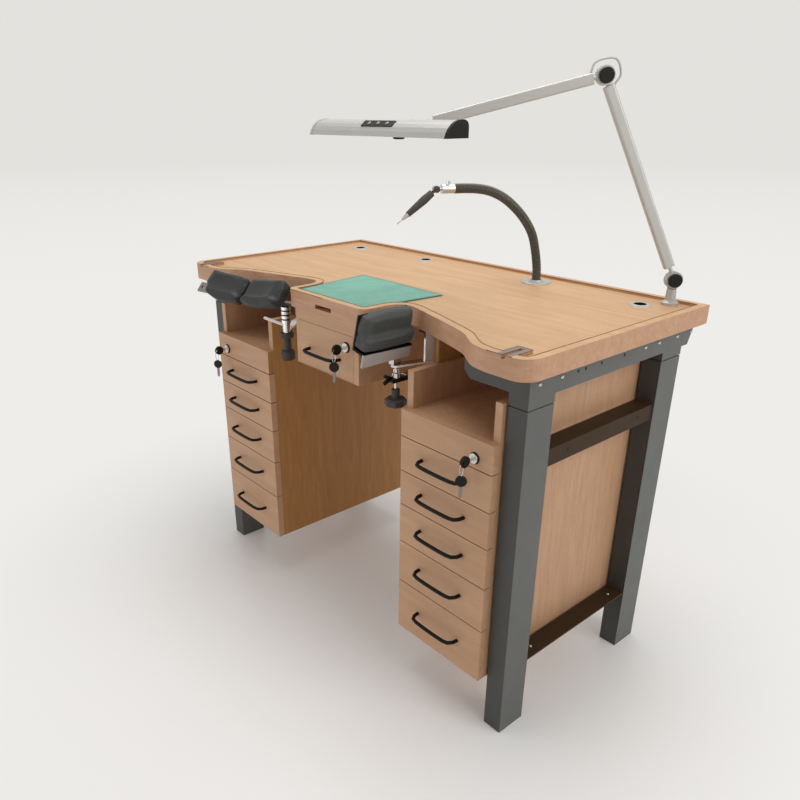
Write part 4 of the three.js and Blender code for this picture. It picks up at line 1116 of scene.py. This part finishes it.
@dataclass
class ScoopedPad:
    """A vinyl arm pad: scooped, with a rolled lip at its front edge and raised ends."""

    name: str
    node: str
    body: str
    finish: Finish
    length: float
    width: float
    height: float
    scoop: float
    lip: float
    ends: tuple[float, float]
    place: Matrix
    lip_share: float = 0.18
    corner: float = 0.10
    lip_corner: float = 0.10
    cut: float = 0.0
    voxel: float = 4.0
    swell: float = 5.0
    inward: float = 0.95
    skirt: float = 1.0
    cells: int = 18
    pressure: float = 4.0
    steps: int = 20
    fill: float = 0.85

    def build(self) -> None:
        """Shape the pad, let cloth fill it out, and put it on its body."""
        thing = make_piece(self.name, self.cage(), self.finish, self.body, 180.0)
        self.fill_out(thing)
        round_off = thing.modifiers.new("round_off", "SUBSURF")
        round_off.levels = round_off.render_levels = 1
        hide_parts(self.node)

    def surface(self, u: float, v: float) -> tuple[float, float, float]:
        """Give the upper face at a share of the pad's length and width.

        Args:
            u: Share along the pad, from -1 to 1.
            v: Share across it, from -1 at the lip to 1.

        Returns:
            The point in millimetres, in the pad's own axes.
        """
        edge = max(abs(u), abs(v)) ** 8
        taper = self.corner if v > 0 else self.lip_corner
        x = u * (1 - taper * v * v) * self.length / 2
        x -= self.cut * max(0.0, u) ** 2 * max(0.0, -v) ** 1.5 * self.length / 2
        y = v * (1 - self.corner * u * u) * self.width / 2
        slope = min(1.0, max(0.0, (2 * self.lip_share - 1 + 0.16 - v) / 0.22))
        roll = slope * slope * (3 - 2 * slope)
        rise = self.ends[0] * max(0.0, -u) ** 2.5 + self.ends[1] * max(0.0, u) ** 2.5
        z = self.height - self.scoop * (1 - u * u) * (1 - v * v) + self.lip * roll + rise
        return x, y, z - 0.34 * self.height * edge

    def cage(self) -> bmesh.types.BMesh:
        """Shape the pad before it is filled out.

        Returns:
            Its closed mesh, in place.
        """
        count = self.cells
        shape = bmesh.new()
        shares = [-1 + 2 * step / count for step in range(count + 1)]
        upper = [[shape.verts.new([c * MM for c in self.surface(u, v)]) for u in shares] for v in shares]
        lower = [[None] * (count + 1) for _ in shares]
        for row, v in enumerate(shares):
            for column, u in enumerate(shares):
                x, y, _ = self.surface(u, v)
                foot = Vector((x * self.inward, y * self.inward, self.skirt)) * MM
                lower[row][column] = shape.verts.new(foot)
        for row in range(count):
            for column in range(count):
                picks = ((row, column), (row, column + 1), (row + 1, column + 1), (row + 1, column))
                shape.faces.new([upper[r][c] for r, c in picks])
                shape.faces.new([lower[r][c] for r, c in reversed(picks)])
        rim = [(0, c) for c in range(count)] + [(r, count) for r in range(count)]
        rim += [(count, c) for c in range(count, 0, -1)] + [(r, 0) for r in range(count, 0, -1)]
        for (r0, c0), (r1, c1) in zip(rim, rim[1:] + rim[:1]):
            shape.faces.new((upper[r0][c0], lower[r0][c0], lower[r1][c1], upper[r1][c1]))
        bmesh.ops.transform(shape, matrix=self.place, verts=shape.verts[:])
        return shape

    def fill_out(self, thing: bpy.types.Object) -> None:
        """Swell the pad as stuffed cloth and keep the result, with each point's move capped.

        Args:
            thing: The pad's object.
        """
        remesh = thing.modifiers.new("remesh", "REMESH")
        remesh.mode = "VOXEL"
        remesh.voxel_size = self.voxel * MM
        self.keep(thing)
        start = [vertex.co.copy() for vertex in thing.data.vertices]
        cloth = thing.modifiers.new("cloth", "CLOTH")
        cloth.settings.use_pressure = True
        cloth.settings.uniform_pressure_force = self.pressure
        cloth.settings.effector_weights.gravity = 0.0
        cloth.settings.quality = 6
        scene = bpy.context.scene
        for step in range(1, self.steps + 1):
            scene.frame_set(step)
        self.keep(thing)
        scene.frame_set(1)
        cap = self.swell * MM
        for vertex, before in zip(thing.data.vertices, start):
            move = vertex.co - before
            if move.length > cap:
                vertex.co = before + move * (cap / move.length)
        thing.data.shade_smooth()

    @staticmethod
    def keep(thing: bpy.types.Object) -> None:
        """Replace the object's mesh by what its modifiers make of it.

        Args:
            thing: The pad's object.
        """
        bpy.context.view_layer.update()
        ready = thing.evaluated_get(bpy.context.evaluated_depsgraph_get())
        made = bpy.data.meshes.new_from_object(ready)
        old = thing.data
        thing.modifiers.clear()
        thing.data = made
        if not made.materials and old.materials:
            made.materials.append(old.materials[0])


@dataclass
class Armrests:
    """The two armrests with their clamps, knobs and pads."""

    post: tuple[float, float] = (-197, -300)
    bar_end: tuple[float, float] = (-540, -372)
    bar_z: float = 907.3
    bar_half: float = 3.3
    bar_tilt: float = 46.0
    plate_centre: tuple[float, float, float] = (221, -321, 929)
    plate_tilt: float = 104.0
    pad_rise: float = 8.0
    pad_back: float = 6.0
    apron_from: float = 40.0
    rod: tuple[float, float] = (236, -287)
    block_top: float = 884.0
    block_reach: float = 18.0
    block_face_m2: float = 8e-4
    clamp_z: float = 800.0
    groove_z: tuple[float, float] = (850, 903)
    groove_radius: float = 10.6
    lever_z: tuple[float, float] = (842, 854)
    lever_from: float = 14.0

    def build(self, frame: dict) -> None:
        """Dress the metalwork and make the clamp and the three pads.
        """
        # The post between its rings is painted black as painted shade in the gaps.
        dress(frame, "arm_post_left", CHROME, (BLACK_STEEL, self.is_shaded_groove),
              (REFLECTION_PLATE, self.is_lever))
        dress(frame, "arm_bar_left", GREY_ZINC)
        dress(frame, "arm_knob_left", DARK_PLASTIC, soften=1.0)
        # The hanging plate's flat sides take painted reflection.
        dress(frame, "arm_bracket_right", CHROME, (REFLECTION_PLATE, self.is_hanger))
        dress(frame, "arm_knob_right", DARK_PLASTIC, soften=1.0)
        dress(frame, "arm_shell_right", PALE_PLATE, (BLACK_STEEL, self.is_binding),
              (CHROME, self.is_block), soften=0.8)
        self.add_clamp()
        self.add_left_pads()
        self.add_right_pad()

    def is_shaded_groove(self, face: bpy.types.MeshPolygon) -> bool:
        """Tell whether a face is on the post between its rings; these faces are painted black as painted
        shade in the gaps.
        """
        aside = (face.center.xy - at(*self.post, 0).xy).length
        return is_between(face.center.z, self.groove_z) and aside < self.groove_radius * MM

    def is_lever(self, face: bpy.types.MeshPolygon) -> bool:
        """Tell whether a face is on the clamping lever."""
        is_aside = face.center.x < (self.post[0] - self.lever_from) * MM
        return is_between(face.center.z, self.lever_z) and is_aside

    @staticmethod
    def is_hanger(face: bpy.types.MeshPolygon) -> bool:
        """Tell whether a face is on a flat side of the hanging plate; these faces get painted reflection."""
        return abs(face.normal.x) > 0.8

    def plate_place(self) -> Matrix:
        """Give the right pad plate's own axes."""
        turn = Matrix.Rotation(math.radians(self.plate_tilt), 4, "Y")
        return Matrix.Translation(at(*self.plate_centre)) @ turn

    def is_binding(self, face: bpy.types.MeshPolygon) -> bool:
        """Tell whether a face is on the front or rim of the right pad's plate, above its apron.

        Args:
            face: The face.

        Returns:
            Whether it is there.
        """
        home = self.plate_place().inverted()
        is_back = (home.to_3x3() @ face.normal).z < -0.5
        return not is_back and (home @ face.center).x < self.apron_from * MM

    def is_block(self, face: bpy.types.MeshPolygon) -> bool:
        """Tell whether a face is on the rod or the block at its head."""
        aside = (face.center.xy - at(*self.rod, 0).xy).length
        is_near = face.center.z < self.block_top * MM and aside < self.block_reach * MM
        return is_near and face.area < self.block_face_m2

    def add_clamp(self) -> None:
        """Put the black clamp arm with its wing, collar and spring clip on the right rod."""
        place = Matrix.Translation(at(*self.rod, self.clamp_z))
        arm = bmesh.new()
        add_slab(arm, [(-10, -16), (10, -16), (10, 46), (-10, 46)], 0, 11, place, 1.5)
        for turn in (-28, 28):
            wing = place @ Matrix.Translation((-4 * MM, -15 * MM, 8 * MM)) @ Matrix.Rotation(
                math.radians(turn), 4, "X")
            add_slab(arm, round_outline(3, 13, 2.8), -2, 6, wing @ Matrix.Translation((0, -8 * MM, 0)), 1.0)
        make_piece("arm_clamp_right", arm, BLACK_PLASTIC, "rest_right")
        bright = bmesh.new()
        profile = [(4.6, 11), (10, 11), (10, 22), (7, 24), (7, 33), (4.6, 33), (4.6, 11)]
        add_turned(bright, profile, place, 24)
        add_slab(bright, [(-8, 24), (8, 24), (8, 48), (-8, 48)], 11, 14, place, 0.8)
        make_piece("arm_clamp_clip_right", bright, CHROME, "rest_right")

    def add_left_pads(self) -> None:
        """Stand two pads on the left bar, both rising to the post."""
        angle = math.atan2(self.bar_end[1] - self.post[1], self.bar_end[0] - self.post[0])
        bar = Matrix.Translation(at(*self.post, self.bar_z)) @ Matrix.Rotation(angle, 4, "Z")
        bar = bar @ Matrix.Rotation(math.radians(-self.bar_tilt), 4, "X")
        flip = Matrix.Scale(-1, 4, (0, 1, 0))
        for name, distance, length, roll, ends, cut in (("inner", 44, 164, 10, (4, 0), 0.0),
                                                        ("outer", 207, 142, -6, (0, 6), 0.3)):
            low_end = math.copysign(length / 2, roll) * MM
            place = bar @ Matrix.Translation((distance * MM + low_end, 0, 0))
            place = place @ Matrix.Rotation(math.radians(roll), 4, "Y")
            place = place @ Matrix.Translation((-low_end, 0, self.bar_half * MM)) @ flip
            ScoopedPad(f"pad_left_{name}_vinyl", f"pad_left_{name}", "rest_left", LEFT_HIDE, length=length,
                       width=84, height=40, scoop=9, lip=6, ends=ends, place=place, cut=cut).build()

    def add_right_pad(self) -> None:
        """Lay the right pad on its steep plate."""
        place = self.plate_place()
        place = place @ Matrix.Translation((-self.pad_rise * MM, self.pad_back * MM, 0.3 * MM))
        place = place @ Matrix.Rotation(math.radians(90), 4, "Z")
        ScoopedPad("pad_right_vinyl", "pad_right", "rest_right", RIGHT_HIDE, length=154, width=84, height=21,
                   scoop=3, lip=17, ends=(0, 0), place=place, lip_share=0.355, lip_corner=0.02, inward=1.02,
                   skirt=-8.0).build()


def main() -> None:
    """Load the frame, build the studio and every sub-assembly."""
    logging.basicConfig(level=logging.INFO, format="%(message)s")
    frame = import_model()
    Studio().build()
    for assembly in (Worktop(), SteelFrame(), Drawers(), BarLamp(), FlexStand(), Armrests()):
        assembly.build(frame)
        LOG.info("built %s", type(assembly).__name__)


if __name__ == "__main__":
    main()
